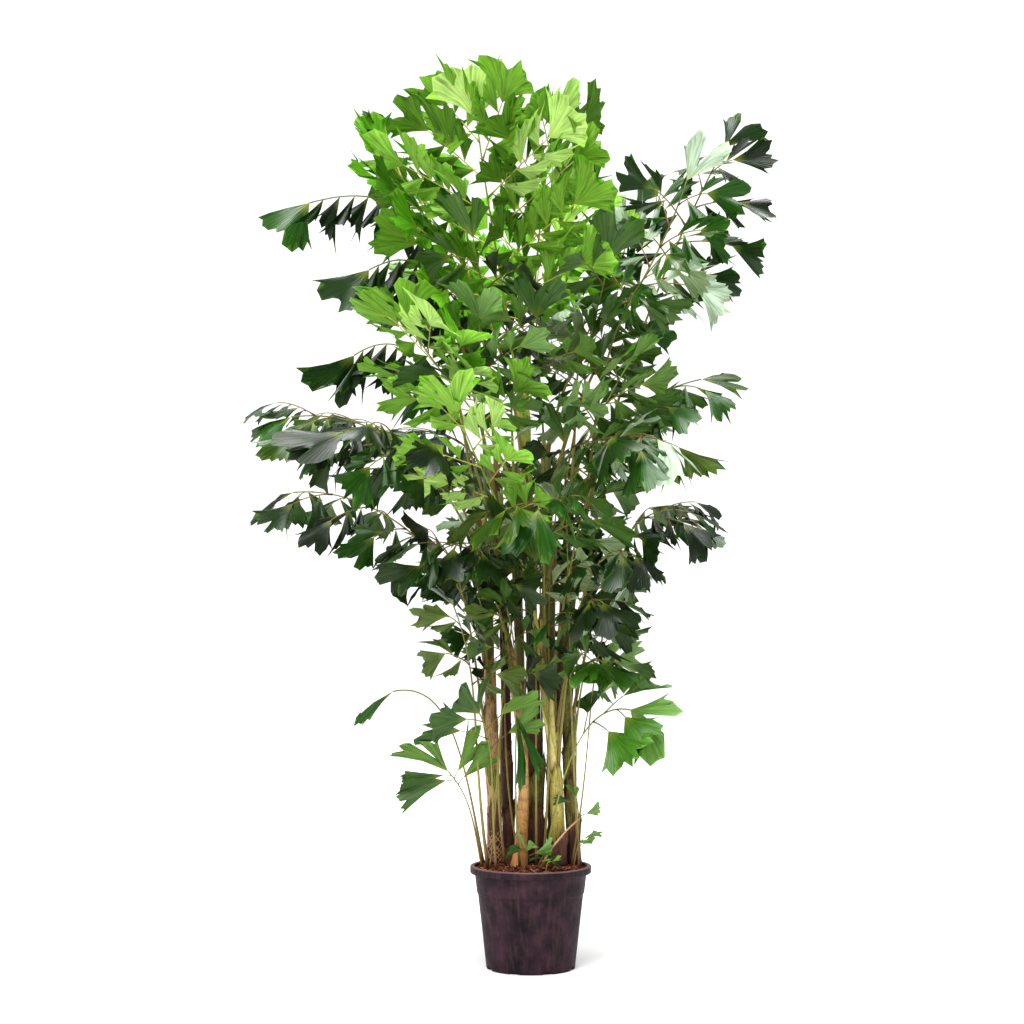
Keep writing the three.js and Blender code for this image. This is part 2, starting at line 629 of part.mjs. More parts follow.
// The rib between two shares of its length, with the given branches. A place left bare is only a bend.
function makeFrondBlade(frond, rib, branches, from = 0, to = 1) {
  const blade = new Blade();
  const railPoint = (t, way) => {
    const f = ribFrame(rib, t);
    const point = f.point.addScaledVector(f.side, way * ribHalfWidth(rib, t));
    return { at: t, index: blade.add(point, f.normal, ribHalfDepth(rib, t)) };
  };
  const bends = RIB_BENDS.filter((t) => t > from && t < Math.min(to, frond.stalk));
  const rails = {};
  for (const way of [1, -1]) {
    const rail = [from, ...bends].map((t) => railPoint(t, way));
    for (const place of branchPlaces(frond)) {
      if (place.side !== way || place.t > to) continue;
      const attempt = branches.get(place.t);
      if (!attempt) {
        rail.push(railPoint(place.t, way));
        continue;
      }
      const a = railPoint(place.t - BRANCH.joint, way);
      const b = railPoint(place.t + BRANCH.joint, way);
      rail.push(a, b);
      addBranch(blade, a.index, b.index, frond, rib, place, attempt);
    }
    rail.push(railPoint(to, way));
    rails[way] = rail;
  }
  blade.strip(rails[-1], rails[1]);
  if (to === 1) {
    const [near, far] = [rails[-1].at(-1).index, rails[1].at(-1).index];
    addFishtail(blade, near, far, ribFrame(rib, 1), frond, frond.leaf);
  }
  return blade.solid();
}

// One branch by itself, closed at its joint and set off from the rib, to test whether it has room.
function makeLoneBranch(frond, rib, place, attempt, offset) {
  const blade = new Blade();
  const [a, b] = [-1, 1].map((way) => {
    const t = place.t + way * BRANCH.joint;
    const f = ribFrame(rib, t);
    const out = f.point.addScaledVector(f.side, place.side * (ribHalfWidth(rib, t) + offset));
    return blade.add(out, f.normal, BRANCH.halfDepth);
  });
  addBranch(blade, a, b, frond, rib, place, attempt);
  return blade.solid();
}

function near(a, b, margin) {
  const [p, q] = [a.boundingBox(), b.boundingBox()];
  return [0, 1, 2].every((k) => p.min[k] < q.max[k] + margin && q.min[k] < p.max[k] + margin);
}

function isClear(solid, others, gap) {
  return others.every((o) => !near(solid, o, gap) || solid.minGap(o, 2 * gap) > gap);
}

const group = new THREE.Group();
const materials = {
  pot: new THREE.MeshStandardMaterial({ color: 0x322a33, roughness: 0.55 }),
  soil: new THREE.MeshStandardMaterial({ color: 0x57302a, roughness: 1 }),
  cane: new THREE.MeshStandardMaterial({ color: 0xa58a55, roughness: 0.8 }),
};
const leafMaterials = new Map(
  [YOUNG, MIDDLE, GROWN].map((age) => [
    age,
    new THREE.MeshStandardMaterial({ color: age.colour, roughness: 0.5, side: THREE.DoubleSide }),
  ]),
);

group.add(meshFrom(makePot(), "pot", materials.pot));
group.add(meshFrom(makeSoil(), "soil", materials.soil));

const wood = [];
const clearers = [];
for (const [name, cane] of Object.entries(CANES)) {
  const solid = makeCane(cane);
  group.add(meshFrom(solid, "cane_" + name, materials.cane));
  wood.push(solid);
  clearers.push(makeCane(cane, GAP));
}

// The ribs are placed first, so that every branch keeps clear of all of them.
const ribs = Object.entries(FRONDS).map(([name, frond]) => {
  const rib = ribCurve(frond);
  return { name, frond, rib, bare: makeFrondBlade(frond, rib, new Map()) };
});

// Takes away what lies in a cane or under the soil's surface, and keeps the piece outside.
function trimmed(solid, frond) {
  let cut = solid;
  for (const clearer of clearers) if (near(cut, clearer, 0)) cut = cut.subtract(clearer);
  if (frond.foot) cut = cut.trimByPlane([0, 0, 1], SOIL.top + GAP);
  return largest(cut).simplify(SLIVER);
}

const placed = [];
for (const { name, frond, rib, bare } of ribs) {
  const otherWood = [...wood, ...ribs.filter((r) => r.name !== name).map((r) => r.bare)];
  const own = [];
  const branches = new Map();
  for (const place of branchPlaces(frond)) {
    for (const attempt of TRIES) {
      const lone = makeLoneBranch(frond, rib, place, attempt, 0);
      if (!isClear(lone, [...otherWood, ...placed], CLEARANCE)) continue;
      const apart = makeLoneBranch(frond, rib, place, attempt, 2 * CLEARANCE);
      if (!isClear(apart, [bare, ...own], CLEARANCE)) continue;
      branches.set(place.t, attempt);
      own.push(lone);
      break;
    }
  }
  placed.push(...own);
  if (frond.split) {
    const cut = GAP / rib.chord;
    const stalk = trimmed(makeFrondBlade(frond, rib, new Map(), 0, frond.split - cut), frond);
    const blade = makeFrondBlade(frond, rib, branches, frond.split, 1);
    group.add(meshFrom(stalk, "frond_" + name + "_stalk", leafMaterials.get(frond.age)));
    group.add(meshFrom(blade, "frond_" + name, leafMaterials.get(frond.age)));
  } else {
    const solid = trimmed(makeFrondBlade(frond, rib, branches), frond);
    group.add(meshFrom(solid, "frond_" + name, leafMaterials.get(frond.age)));
  }
}

export default group;
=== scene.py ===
"""A clustering fishtail palm in a nursery pot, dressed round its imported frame.

Lengths are in metres and angles in degrees unless a name says otherwise. +Z is up, the plant's front
faces -Y and its right side +X. The origin is on the floor under the middle of the pot.
"""

import math

import bpy
import numpy as np
from bpy.props import FloatProperty, FloatVectorProperty, IntProperty, PointerProperty
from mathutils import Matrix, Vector


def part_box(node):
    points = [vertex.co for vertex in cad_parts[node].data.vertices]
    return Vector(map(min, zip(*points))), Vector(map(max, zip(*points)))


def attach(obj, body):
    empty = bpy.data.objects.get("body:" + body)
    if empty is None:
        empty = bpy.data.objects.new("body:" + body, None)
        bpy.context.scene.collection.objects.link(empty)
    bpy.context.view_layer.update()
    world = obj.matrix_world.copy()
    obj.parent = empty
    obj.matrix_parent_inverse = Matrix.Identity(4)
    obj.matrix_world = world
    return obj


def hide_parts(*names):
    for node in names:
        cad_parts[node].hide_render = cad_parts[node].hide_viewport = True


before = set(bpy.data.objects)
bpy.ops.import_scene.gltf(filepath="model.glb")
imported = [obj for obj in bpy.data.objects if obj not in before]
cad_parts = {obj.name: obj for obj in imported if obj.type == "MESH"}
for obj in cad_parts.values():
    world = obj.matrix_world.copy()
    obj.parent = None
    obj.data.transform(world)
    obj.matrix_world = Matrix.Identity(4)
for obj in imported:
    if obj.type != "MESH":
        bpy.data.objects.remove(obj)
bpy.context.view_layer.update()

bl_info = {
    "name": "Potted fishtail palm",
    "version": (1, 0, 0),
    "blender": (4, 5, 0),
    "location": "View3D > Sidebar > Palm",
    "description": "Dresses a potted clustering fishtail palm round its frame",
    "category": "Object",
}

SEED = 20261
UP = np.array([0.0, 0.0, 1.0])
FRONT = np.array([0.0, -1.0, 0.0])
MM = 0.001

# Heights taken from the frame.
POT_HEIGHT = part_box("pot")[1][2]
POT_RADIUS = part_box("pot")[1][0]
SOIL_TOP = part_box("soil")[1][2]

# Each cane runs from the soil to its growing tip. bark gives its colours up from the soil, as pairs of
# height and sRGB hex, wrap the kind of its low sheaths and streaks how strongly dark fibre shows.
CANES = {
    "left": dict(
        foot=(-0.117, 0.02), bend=(-0.128, 0.02), top=(-0.16, 0.01, 1.5), radius=0.021,
        bark=((0.0, "83492C"), (0.16, "99623A"), (0.26, "9D8846"), (0.4, "D2AA73"), (0.75, "DBBD82")),
        wrap="tan", streaks=0.45,
    ),
    "left_back": dict(
        foot=(-0.072, 0.062), bend=(-0.08, 0.08), top=(-0.11, 0.1, 1.65), radius=0.018,
        bark=((0.0, "945E3B"), (0.2, "723E2F"), (0.45, "4F2829"), (0.8, "533B2A")),
        wrap="dead", streaks=0.55,
    ),
    "pale": dict(
        foot=(-0.04, -0.035), bend=(0.005, -0.045), top=(-0.07, -0.07, 1.06), radius=0.02,
        bark=((0.0, "C68F5B"), (0.1, "C18D52"), (0.3, "D7AE71"), (0.6, "D2A56A"), (0.8, "B59651")),
        wrap="tan", streaks=0.3,
    ),
    "brown": dict(
        foot=(0.022, 0.03), bend=(0.01, 0.04), top=(-0.025, 0.04, 1.9), radius=0.024,
        bark=((0.0, "4F3423"), (0.4, "422D1D"), (0.55, "604D32"), (0.64, "5A6751"), (0.9, "5F7254")),
        wrap="dead", streaks=0.85,
    ),
    "back": dict(
        foot=(-0.02, 0.125), bend=(-0.03, 0.15), top=(-0.05, 0.19, 1.5), radius=0.017,
        bark=((0.0, "4F3528"), (0.5, "715E36"), (0.9, "757847")),
        wrap="olive", streaks=0.6,
    ),
    "bent": dict(
        foot=(0.094, -0.022), bend=(0.085, -0.02), top=(0.015, -0.05, 1.15), radius=0.021,
        bark=((0.0, "834031"), (0.15, "8D4D37"), (0.24, "96872E"), (0.4, "B2A33A"), (0.55, "DBC562")),
        wrap="straw", streaks=0.4,
    ),
    "yellow": dict(
        foot=(0.08, 0.052), bend=(0.07, 0.05), top=(0.045, 0.06, 1.75), radius=0.02,
        bark=((0.0, "62392A"), (0.3, "604D28"), (0.6, "968C38"), (0.9, "A59D40")),
        wrap="olive", streaks=0.6,
    ),
    "right": dict(
        foot=(0.146, 0.016), bend=(0.108, 0.005), top=(0.12, 0.0, 1.25), radius=0.018,
        bark=((0.0, "533227"), (0.2, "714A2F"), (0.5, "857B3B"), (0.8, "94913E")),
        wrap="olive", streaks=0.55,
    ),
    "right_back": dict(
        foot=(0.075, 0.118), bend=(0.095, 0.14), top=(0.135, 0.185, 1.55), radius=0.017,
        bark=((0.0, "432E25"), (0.5, "604F32"), (0.9, "717445")),
        wrap="dead", streaks=0.6,
    ),
}
CANE_TIP_SHARE = 0.6
FLARE_SHARE = 0.4
FLARE_HEIGHT = 0.055

# The three ages of frond. sag is how far a side branch hangs as a share of its length, hang how far a leaflet
# hangs, and twigs how many there are for each branch of the frame's frond. pleat is the height of a leaflet's
# pleats, cup and twist its curves, fan how wide it spreads and notch the deepest cut in an end leaf. spacing
# is the length of twig to a pair of leaflets, and size the leaflets' length against the frame's.
AGES = {
    "young": dict(
        slot="young_frond", sag=0.03, hang=8, twigs=1.3, pleat=0.12, cup=0.25, twist=12, fan=1.28, notch=0.6,
        spacing=0.085, size=1.02,
    ),
    "middle": dict(
        slot="grown_frond", sag=0.12, hang=32, twigs=1.25, pleat=0.08, cup=0.1, twist=18, fan=1.05, notch=0.4,
        spacing=0.09, size=1.0,
    ),
    "grown": dict(
        slot="grown_frond", sag=0.26, hang=60, twigs=1.1, pleat=0.04, cup=-0.2, twist=26, fan=0.92, notch=0.3,
        spacing=0.1, size=1.06,
    ),
}

# The fronds. leaves is the height at which the stalk leaves its cane, or foot its place in the soil. tip is
# where the rib ends, pitch its slope there, and lift how far it rises first, where that isn't USUAL_LIFT.
# stalk is the bare share of the rib, pairs the main side branches on each side, spread the longest branch and
# leaf a leaflet's length. roll turns the blade about its rib. A split frond is two nodes of the frame, and
# last is the size of its end leaf. A bare frond has leaves only at the ends of its twigs, and fan widens
# them. deep fronds draw more of their darkest tints as painted shade, and pale fronds more of their palest
# tints as painted sheen.
FRONDS = {
    "top_centre": dict(
        cane="brown", leaves=1.65, tip=(-0.175, -0.3, 2.755), pitch=75, lift=0.45,
        stalk=0.4, pairs=4, spread=0.36, leaf=0.178, age="young",
    ),
    "top_right": dict(
        cane="brown", leaves=1.78, tip=(0.075, -0.2, 2.745), pitch=62, lift=0.4, roll=30,
        stalk=0.35, pairs=3, spread=0.32, leaf=0.168, age="young",
    ),
    "top_left": dict(
        cane="brown", leaves=1.72, tip=(-0.47, -0.12, 2.66), pitch=50, roll=-30,
        stalk=0.4, pairs=3, spread=0.3, leaf=0.168, age="young",
    ),
    "left_high_arch": dict(
        cane="left_back", leaves=1.5, tip=(-0.735, -0.06, 2.53), pitch=-18, lift=0.78, roll=-10,
        stalk=0.5, pairs=3, spread=0.17, leaf=0.15, age="grown", split=True, deep=True, last=0.85,
    ),
    "left_second_arch": dict(
        cane="left", leaves=1.38, tip=(-0.53, -0.15, 2.29), pitch=-30, lift=0.75,
        stalk=0.5, pairs=3, spread=0.16, leaf=0.165, age="grown", split=True, deep=True, last=0.85,
    ),
    "left_mid_arch": dict(
        cane="left_back", leaves=1.3, tip=(-0.595, 0.06, 2.035), pitch=-35, lift=0.6, roll=-15,
        stalk=0.45, pairs=3, spread=0.17, leaf=0.185, age="grown", split=True, deep=True, last=0.85,
    ),
    "bright_left": dict(
        cane="brown", leaves=1.35, tip=(-0.385, -0.38, 2.08), pitch=50,
        stalk=0.45, pairs=3, spread=0.26, leaf=0.175, age="young",
    ),
    "bright_low": dict(
        cane="bent", leaves=0.99, tip=(-0.23, -0.47, 1.79), pitch=55, lift=0.45,
        stalk=0.5, pairs=2, spread=0.18, leaf=0.15, age="young",
    ),
    "left_long": dict(
        cane="pale", leaves=0.98, tip=(-0.775, -0.22, 1.8), pitch=-8, lift=0.52, roll=-25,
        stalk=0.42, pairs=4, spread=0.3, leaf=0.165, age="grown",
    ),
    "left_front": dict(
        cane="pale", leaves=0.86, tip=(-0.575, -0.46, 1.73), pitch=-15,
        stalk=0.42, pairs=3, spread=0.28, leaf=0.18, age="grown", deep=True,
    ),
    "left_low": dict(
        cane="left", leaves=0.995, tip=(-0.805, 0.12, 1.575), pitch=-5, lift=0.4, roll=-25,
        stalk=0.5, pairs=3, spread=0.19, leaf=0.15, age="grown", deep=True,
    ),
    "left_lower": dict(
        cane="left", leaves=0.634, tip=(-0.43, -0.08, 1.4), pitch=-30,
        stalk=0.45, pairs=2, spread=0.15, leaf=0.15, age="grown", deep=True,
    ),
    "right_tall": dict(
        cane="right", leaves=1.2, tip=(0.655, 0.02, 2.735), pitch=62, lift=0.38, roll=70,
        stalk=0.62, pairs=4, spread=0.21, leaf=0.15, age="grown",
    ),
    "right_high": dict(
        cane="yellow", leaves=1.5, tip=(0.52, -0.06, 2.605), pitch=72, lift=0.45, roll=65,
        stalk=0.55, pairs=3, spread=0.26, leaf=0.165, age="grown", pale=True,
    ),
    "right_fans": dict(
        cane="yellow", leaves=1.64, tip=(0.245, -0.24, 2.295), pitch=78, lift=0.45,
        stalk=0.45, pairs=2, spread=0.2, leaf=0.17, age="grown", pale=True,
    ),
    "right_shelf": dict(
        cane="right", leaves=1.022, tip=(0.48, -0.34, 2.36), pitch=28, lift=0.55, roll=20,
        stalk=0.5, pairs=3, spread=0.18, leaf=0.148, age="grown", pale=True,
    ),
    "right_bright": dict(
        cane="bent", leaves=1.09, tip=(0.315, -0.3, 1.97), pitch=50, lift=0.45,
        stalk=0.6, pairs=2, spread=0.16, leaf=0.15, age="middle",
    ),
    "right_mid": dict(
        cane="right", leaves=0.89, tip=(0.565, -0.06, 1.94), pitch=10, roll=25,
        stalk=0.45, pairs=3, spread=0.23, leaf=0.155, age="grown", pale=True,
    ),
    "right_front": dict(
        cane="bent", leaves=0.858, tip=(0.395, -0.38, 1.715), pitch=-25, roll=15,
        stalk=0.45, pairs=3, spread=0.23, leaf=0.18, age="grown", pale=True,
    ),
    "right_low": dict(
        cane="right", leaves=0.74, tip=(0.53, -0.1, 1.495), pitch=-18, roll=25,
        stalk=0.5, pairs=3, spread=0.2, leaf=0.145, age="grown", deep=True,
    ),
    "right_lower": dict(
        cane="bent", leaves=0.7, tip=(0.33, -0.3, 1.35), pitch=-25,
        stalk=0.45, pairs=2, spread=0.15, leaf=0.155, age="grown",
    ),
    "right_under": dict(
        cane="bent", leaves=0.584, tip=(0.225, -0.36, 1.2), pitch=-20,
        stalk=0.5, pairs=2, spread=0.13, leaf=0.165, age="grown",
    ),
    "right_foot": dict(
        cane="right", leaves=0.56, tip=(0.23, -0.22, 1.01), pitch=-20, lift=0.6,
        stalk=0.5, pairs=2, spread=0.135, leaf=0.15, age="middle",
    ),
    "centre_dark": dict(
        cane="brown", leaves=1.54, tip=(-0.185, -0.33, 2.36), pitch=70,
        stalk=0.5, pairs=2, spread=0.19, leaf=0.165, age="grown", deep=True,
    ),
    "centre_fan": dict(
        cane="yellow", leaves=1.35, tip=(0.015, -0.38, 2.095), pitch=60,
        stalk=0.5, pairs=2, spread=0.19, leaf=0.165, age="middle",
    ),
    "centre_left_fan": dict(
        cane="left", leaves=1.19, tip=(-0.165, -0.42, 2.08), pitch=60,
        stalk=0.55, pairs=2, spread=0.19, leaf=0.16, age="middle",
    ),
    "centre_right": dict(
        cane="yellow", leaves=1.19, tip=(0.2, -0.2, 2.055), pitch=70,
        stalk=0.5, pairs=3, spread=0.21, leaf=0.165, age="grown", pale=True,
    ),
    "left_dark": dict(
        cane="left", leaves=0.81, tip=(-0.245, -0.36, 1.37), pitch=-30,
        stalk=0.42, pairs=3, spread=0.22, leaf=0.155, age="grown", deep=True,
    ),
    "centre_front": dict(
        cane="bent", leaves=0.92, tip=(0.02, -0.47, 1.49), pitch=-30, lift=0.55,
        stalk=0.45, pairs=2, spread=0.22, leaf=0.19, age="grown",
    ),
    "back_top": dict(
        cane="brown", leaves=1.82, tip=(0.06, 0.3, 2.56), pitch=65, lift=0.45,
        stalk=0.35, pairs=3, spread=0.33, leaf=0.165, age="young",
    ),
    "back_left_high": dict(
        cane="left_back", leaves=1.58, tip=(-0.26, 0.38, 2.35), pitch=30, lift=0.55,
        stalk=0.4, pairs=3, spread=0.27, leaf=0.16, age="middle",
    ),
    "back_right_high": dict(
        cane="right_back", leaves=1.46, tip=(0.26, 0.4, 2.33), pitch=35, lift=0.55,
        stalk=0.4, pairs=3, spread=0.27, leaf=0.155, age="grown",
    ),
    "back_inner": dict(
        cane="back", leaves=1.45, tip=(-0.09, 0.36, 2.25), pitch=60,
        stalk=0.4, pairs=3, spread=0.25, leaf=0.15, age="middle",
    ),
    "back_left": dict(
        cane="back", leaves=1.3, tip=(-0.42, 0.52, 1.8), pitch=-10, lift=0.55, roll=25,
        stalk=0.4, pairs=3, spread=0.27, leaf=0.165, age="grown", deep=True,
    ),
    "back_right": dict(
        cane="right_back", leaves=1.33, tip=(0.28, 0.6, 1.85), pitch=-5, lift=0.55, roll=-25,
        stalk=0.4, pairs=3, spread=0.27, leaf=0.165, age="grown",
    ),
    "back_middle": dict(
        cane="back", leaves=1.12, tip=(-0.04, 0.65, 1.72), pitch=-15,
        stalk=0.4, pairs=3, spread=0.27, leaf=0.165, age="grown",
    ),
    "back_left_low": dict(
        cane="back", leaves=0.88, tip=(-0.29, 0.45, 1.35), pitch=-25,
        stalk=0.45, pairs=2, spread=0.19, leaf=0.17, age="grown", deep=True,
    ),
    "back_low": dict(
        cane="right_back", leaves=0.9, tip=(0.22, 0.56, 1.4), pitch=-20,
        stalk=0.45, pairs=2, spread=0.22, leaf=0.17, age="grown",
    ),
    "shoot_tall": dict(
        foot=(-0.14, -0.06), tip=(-0.25, -0.19, 1.19), pitch=60,
        stalk=0.6, pairs=2, spread=0.125, leaf=0.13, age="grown",
    ),
    "shoot_right": dict(
        foot=(0.04, -0.085), tip=(0.315, -0.26, 0.86), pitch=-8, lift=0.4, roll=35,
        stalk=0.6, pairs=2, spread=0.11, leaf=0.18, age="middle", bare=True, fan=1.1,
    ),
    "shoot_left": dict(
        foot=(-0.16, -0.02), tip=(-0.27, -0.09, 0.65), pitch=45, roll=50,
        stalk=0.8, pairs=2, spread=0.04, leaf=0.195, age="middle", bare=True, fan=0.55,
    ),
    "shoot_left_thin": dict(
        foot=(-0.155, 0.035), tip=(-0.45, -0.12, 0.912), pitch=-10,
        stalk=0.88, pairs=0, spread=0.025, leaf=0.15, age="grown", bare=True, fan=0.6,
    ),
    "shoot_left_fan": dict(
        foot=(-0.112, -0.1), tip=(-0.165, -0.22, 0.845), pitch=40, roll=40,
        stalk=0.65, pairs=2, spread=0.095, leaf=0.165, age="middle", bare=True, fan=0.85,
    ),
}

# Shoots too small for the frame: fans of a few small leaves that rise from the mulch.
SMALL_SHOOTS = {
    "front": dict(
        foot=(-0.012, -0.112), tip=(-0.012, -0.15, 0.4), pitch=40,
        stalk=0.45, pairs=1, spread=0.03, leaf=0.08, age="middle", bare=True, fan=0.8,
    ),
    "front_right": dict(
        foot=(0.138, -0.072), tip=(0.17, -0.09, 0.43), pitch=40, lift=0.4,
        stalk=0.5, pairs=1, spread=0.03, leaf=0.07, age="middle", bare=True, fan=0.7,
    ),
    "front_middle": dict(
        foot=(0.022, -0.115), tip=(0.036, -0.14, 0.378), pitch=40, lift=0.4,
        stalk=0.4, pairs=1, spread=0.02, leaf=0.06, age="middle", bare=True, fan=0.6,
    ),
    "rim": dict(
        foot=(0.048, -0.12), tip=(0.062, -0.146, 0.366), pitch=0, lift=0.6,
        stalk=0.45, pairs=1, spread=0.012, leaf=0.048, age="young", bare=True, fan=0.6,
    ),
    "right_curl": dict(
        foot=(0.158, -0.04), tip=(0.15, -0.06, 0.56), pitch=60, lift=0.4,
        stalk=0.6, pairs=1, spread=0.035, leaf=0.07, age="middle", bare=True, fan=0.6,
    ),
    "right_stem": dict(
        foot=(0.16, -0.02), tip=(0.105, -0.19, 1.72), pitch=80,
        stalk=0.72, pairs=3, spread=0.13, leaf=0.13, age="grown",
    ),
    "front_blade": dict(
        foot=(-0.135, -0.085), tip=(-0.05, -0.175, 0.845), pitch=-55,
        stalk=0.88, pairs=0, spread=0.03, leaf=0.23, age="grown", bare=True, fan=0.42,
    ),
}

# The sleeve of a frond's sheath: its length below the stalk, how far it runs past it, and how far its top
# stands off the cane. Below DRY_HEIGHT it is dry.
SHEATH_LENGTHS = (0.14, 0.24)
SHEATH_OVERLAP = 0.085
SHEATH_STAND = 0.0035
SHEATH_THICKNESS = 0.0012
DRY_HEIGHT = 1.1
DEEPEST_SHEATH = SOIL_TOP - 0.005
SLEEVE_ROWS = 8
SLEEVE_COLUMNS = 28
SLEEVE_MAP = 0.25

# How high its back edge is between foot and top, how its edges are torn, slanted and toothed, its lean away
# from the cane at the stalk, its gap at the foot and its ribs, as a count and a height.
SLEEVE_BACK = 0.62
SLEEVE_TEAR = 0.010
SLEEVE_TEETH = 0.008
SLEEVE_SLANT = 0.025
SLEEVE_STRAY = 0.006
SLEEVE_LEAN = 0.010
SLEEVE_GAP = 0.0008
SLEEVE_RIBS = (11, 0.0006)

# The brown fibres at a sheath's torn edge: length, how far they lean, half widths and the way they face.
FIBRE_LENGTHS = (0.012, 0.04)
FIBRE_LEANS = (0.2, 0.8)
FIBRE_SWAY = 0.5
FIBRE_ROOT = 0.35
FIBRE_ROWS = 5
FIBRE_RADII = (0.0006, 0.0002)
FIBRE_FACING = (0.3, -0.9, 0.1)

# Old sheaths that still wrap the canes low down: kind, cane, foot and top of the wrap, where it faces and how
# far it stands off at its top.
OLD_SHEATHS = (
    ("dead", "left", 0.335, 0.54, -90, 0.002),
    ("olive", "left", 0.5, 0.7, -150, 0.004),
    ("tan", "left", 0.68, 0.86, -120, 0.003),
    ("dead", "left_back", 0.4, 0.56, 30, 0.004),
    ("dead", "left_back", 0.52, 0.72, -100, 0.004),
    ("dead", "brown", 0.34, 0.54, -100, 0.006),
    ("olive", "brown", 0.48, 0.68, -40, 0.006),
    ("dead", "brown", 0.62, 0.82, -120, 0.005),
    ("dead", "bent", 0.335, 0.45, -40, 0.005),
    ("olive", "yellow", 0.35, 0.52, 20, 0.005),
    ("olive", "yellow", 0.49, 0.68, 100, 0.005),
    ("dead", "right", 0.335, 0.5, -30, 0.008),
    ("dead", "right", 0.46, 0.64, -60, 0.004),
    ("dead", "back", 0.35, 0.56, 90, 0.004),
    ("dead", "right_back", 0.35, 0.6, 60, 0.004),
)

# A dry stalk that has fallen against the clump: points from its foot in the mulch to its broken end.
DRY_STALK = ((0.026, -0.122, 0.334), (0.07, -0.122, 0.41), (0.116, -0.116, 0.462), (0.16, -0.108, 0.502))
DRY_STALK_RADII = (0.0042, 0.0026)

# Pale straps of a split sheath that stand up from the bent cane: points and half widths.
STRAPS = (
    (
        ((0.078, -0.044, 0.64), (0.07, -0.062, 0.72), (0.05, -0.072, 0.8), (0.032, -0.078, 0.88)),
        (0.012, 0.002),
    ),
    (
        ((0.076, -0.04, 0.64), (0.074, -0.052, 0.74), (0.066, -0.058, 0.85), (0.058, -0.062, 0.99)),
        (0.012, 0.009),
    ),
)
STRAP_HALF_DEPTH = 0.003

# The net of old fibre round the foot of the left cane: its foot and top, how many threads wind each way, how
# many turns they make, how far they stand off and how thick they are.
NET_SPAN = (0.345, 0.525)
NET_THREADS = 13
NET_TURNS = 0.9
NET_STRAY = 0.035
NET_ROWS = 26
NET_STAND = 0.0035
NET_RADII = (0.0016, 0.0008)

# Colours of the sheaths from foot to top. Living ones give places in shares of their length, and dry ones in
# metres, with how strongly dark fibre shows.
LIVE_SHEATHS = {
    "young": ("Fresh leaf sheath", ((0.0, "8F9A45"), (0.6, "A9B858"), (1.0, "8BA63C"))),
    "middle": ("Green leaf sheath", ((0.0, "6E6E3C"), (0.6, "8C9250"), (1.0, "748A44"))),
    "grown": ("Old leaf sheath", ((0.0, "6A5636"), (0.5, "7A7644"), (1.0, "6E7C48"))),
}
DRY_SHEATHS = {
    "tan": (
        "Dry leaf sheath, tan", ((0.0, "A07A50"), (0.06, "B8905E"), (0.14, "CCAA7A"), (0.25, "C2A26C")), 0.5
    ),
    "straw": (
        "Dry leaf sheath, straw",
        ((0.0, "8C7A34"), (0.08, "B4A84E"), (0.16, "D4C674"), (0.25, "CCBE68")),
        0.35,
    ),
    "olive": (
        "Dry leaf sheath, olive", ((0.0, "54442A"), (0.08, "6C6632"), (0.16, "86823E"), (0.25, "7C8046")), 0.7
    ),
    "dead": ("Dead leaf sheath", ((0.0, "4E3226"), (0.12, "644032"), (0.25, "7E5840")), 1.0),
}

# Thin shoots that rise among the canes, dealt round the clump by the rule in inner_shoots.
INNER_SHOOTS = 15
CLUMP_MIDDLE = (0.020, 0.035)

# The stage: half the floor's width, the angle that each lamp fills in degrees, and the photograph's width.
FLOOR_HALF = 12.0
LAMP_WIDTH = 30
PHOTO_PIXELS = 1024

# The rule that the frame's fronds follow. A rib sets out STALK_ANGLE from upright and is pulled straight at
# its tip. One shorter than SLENDER_LENGTH is thinner. Its side branches have their angle near its foot and
# tip, and BRANCH_PLACES on the half wave that gives their length.
STALK_ANGLE = math.radians(12)
TIP_PULL = 0.33
USUAL_LIFT = 0.5
SHOOT_DEPTH = 0.010
SLENDER_SHARE = 0.45
SLENDER_LENGTH = 1.2
LAST_BRANCH = 0.96
BRANCH_PLACES = (0.27, 0.86)
BRANCH_ANGLES = (62, 38)
RIB_WIDTHS = (0.0085, 0.0022)
RIB_DEPTHS = (0.0075, 0.0019)

# A rib widens where it clasps its cane: by how much, how far up and how soon the swelling dies away. A thin
# shoot's rib is a share of a frond's.
CLASP_SHARE = 0.8
CLASP_HEIGHT = 0.09
CLASP_FADE = 0.07
SHOOT_THICKNESS = 0.7
RIB_LEAST = 0.0022
RIB_ROWS = 40
RIB_SIDES = 10

# The finer twigs that stand for the frame's branches: how they stray from its angle and plane, their length
# against its branches', and their radii at the foot and tip. One shorter than TWIG_FULL_LENGTH is thinner.
TWIG_STRAY = 5
TWIG_TILT = 9
TWIG_LENGTHS = (0.82, 1.05)
TWIG_RADII = (0.0026, 0.0017)
TWIG_LEAST = 0.0016
TWIG_FULL_LENGTH = 0.15
TWIG_SWELLING = 0.8
TWIG_SWELLING_FADE = 0.04
TWIG_ROWS = 8
TWIG_SIDES = 6

# The leaflets on a twig: the stretch that bears them, how many there are at most on a side, their angle and
# its spread, and their size against the frame's.
LEAF_STRETCH = (0.14, 0.88)
LEAF_SCATTER = 0.015
LEAF_FULLNESS = (0.85, 1.15)
MOST_PER_SIDE = 4
LEAFLET_ANGLE = 50
LEAFLET_STRAY = 7
SIDE_SIZES = (0.70, 0.98)
END_SIZES = (0.88, 1.10)
LAST_SIZE = 1.2
LAST_NOTCH = 1.3
DEEPEST_NOTCH = 0.8
LAST_FAN = 1.2

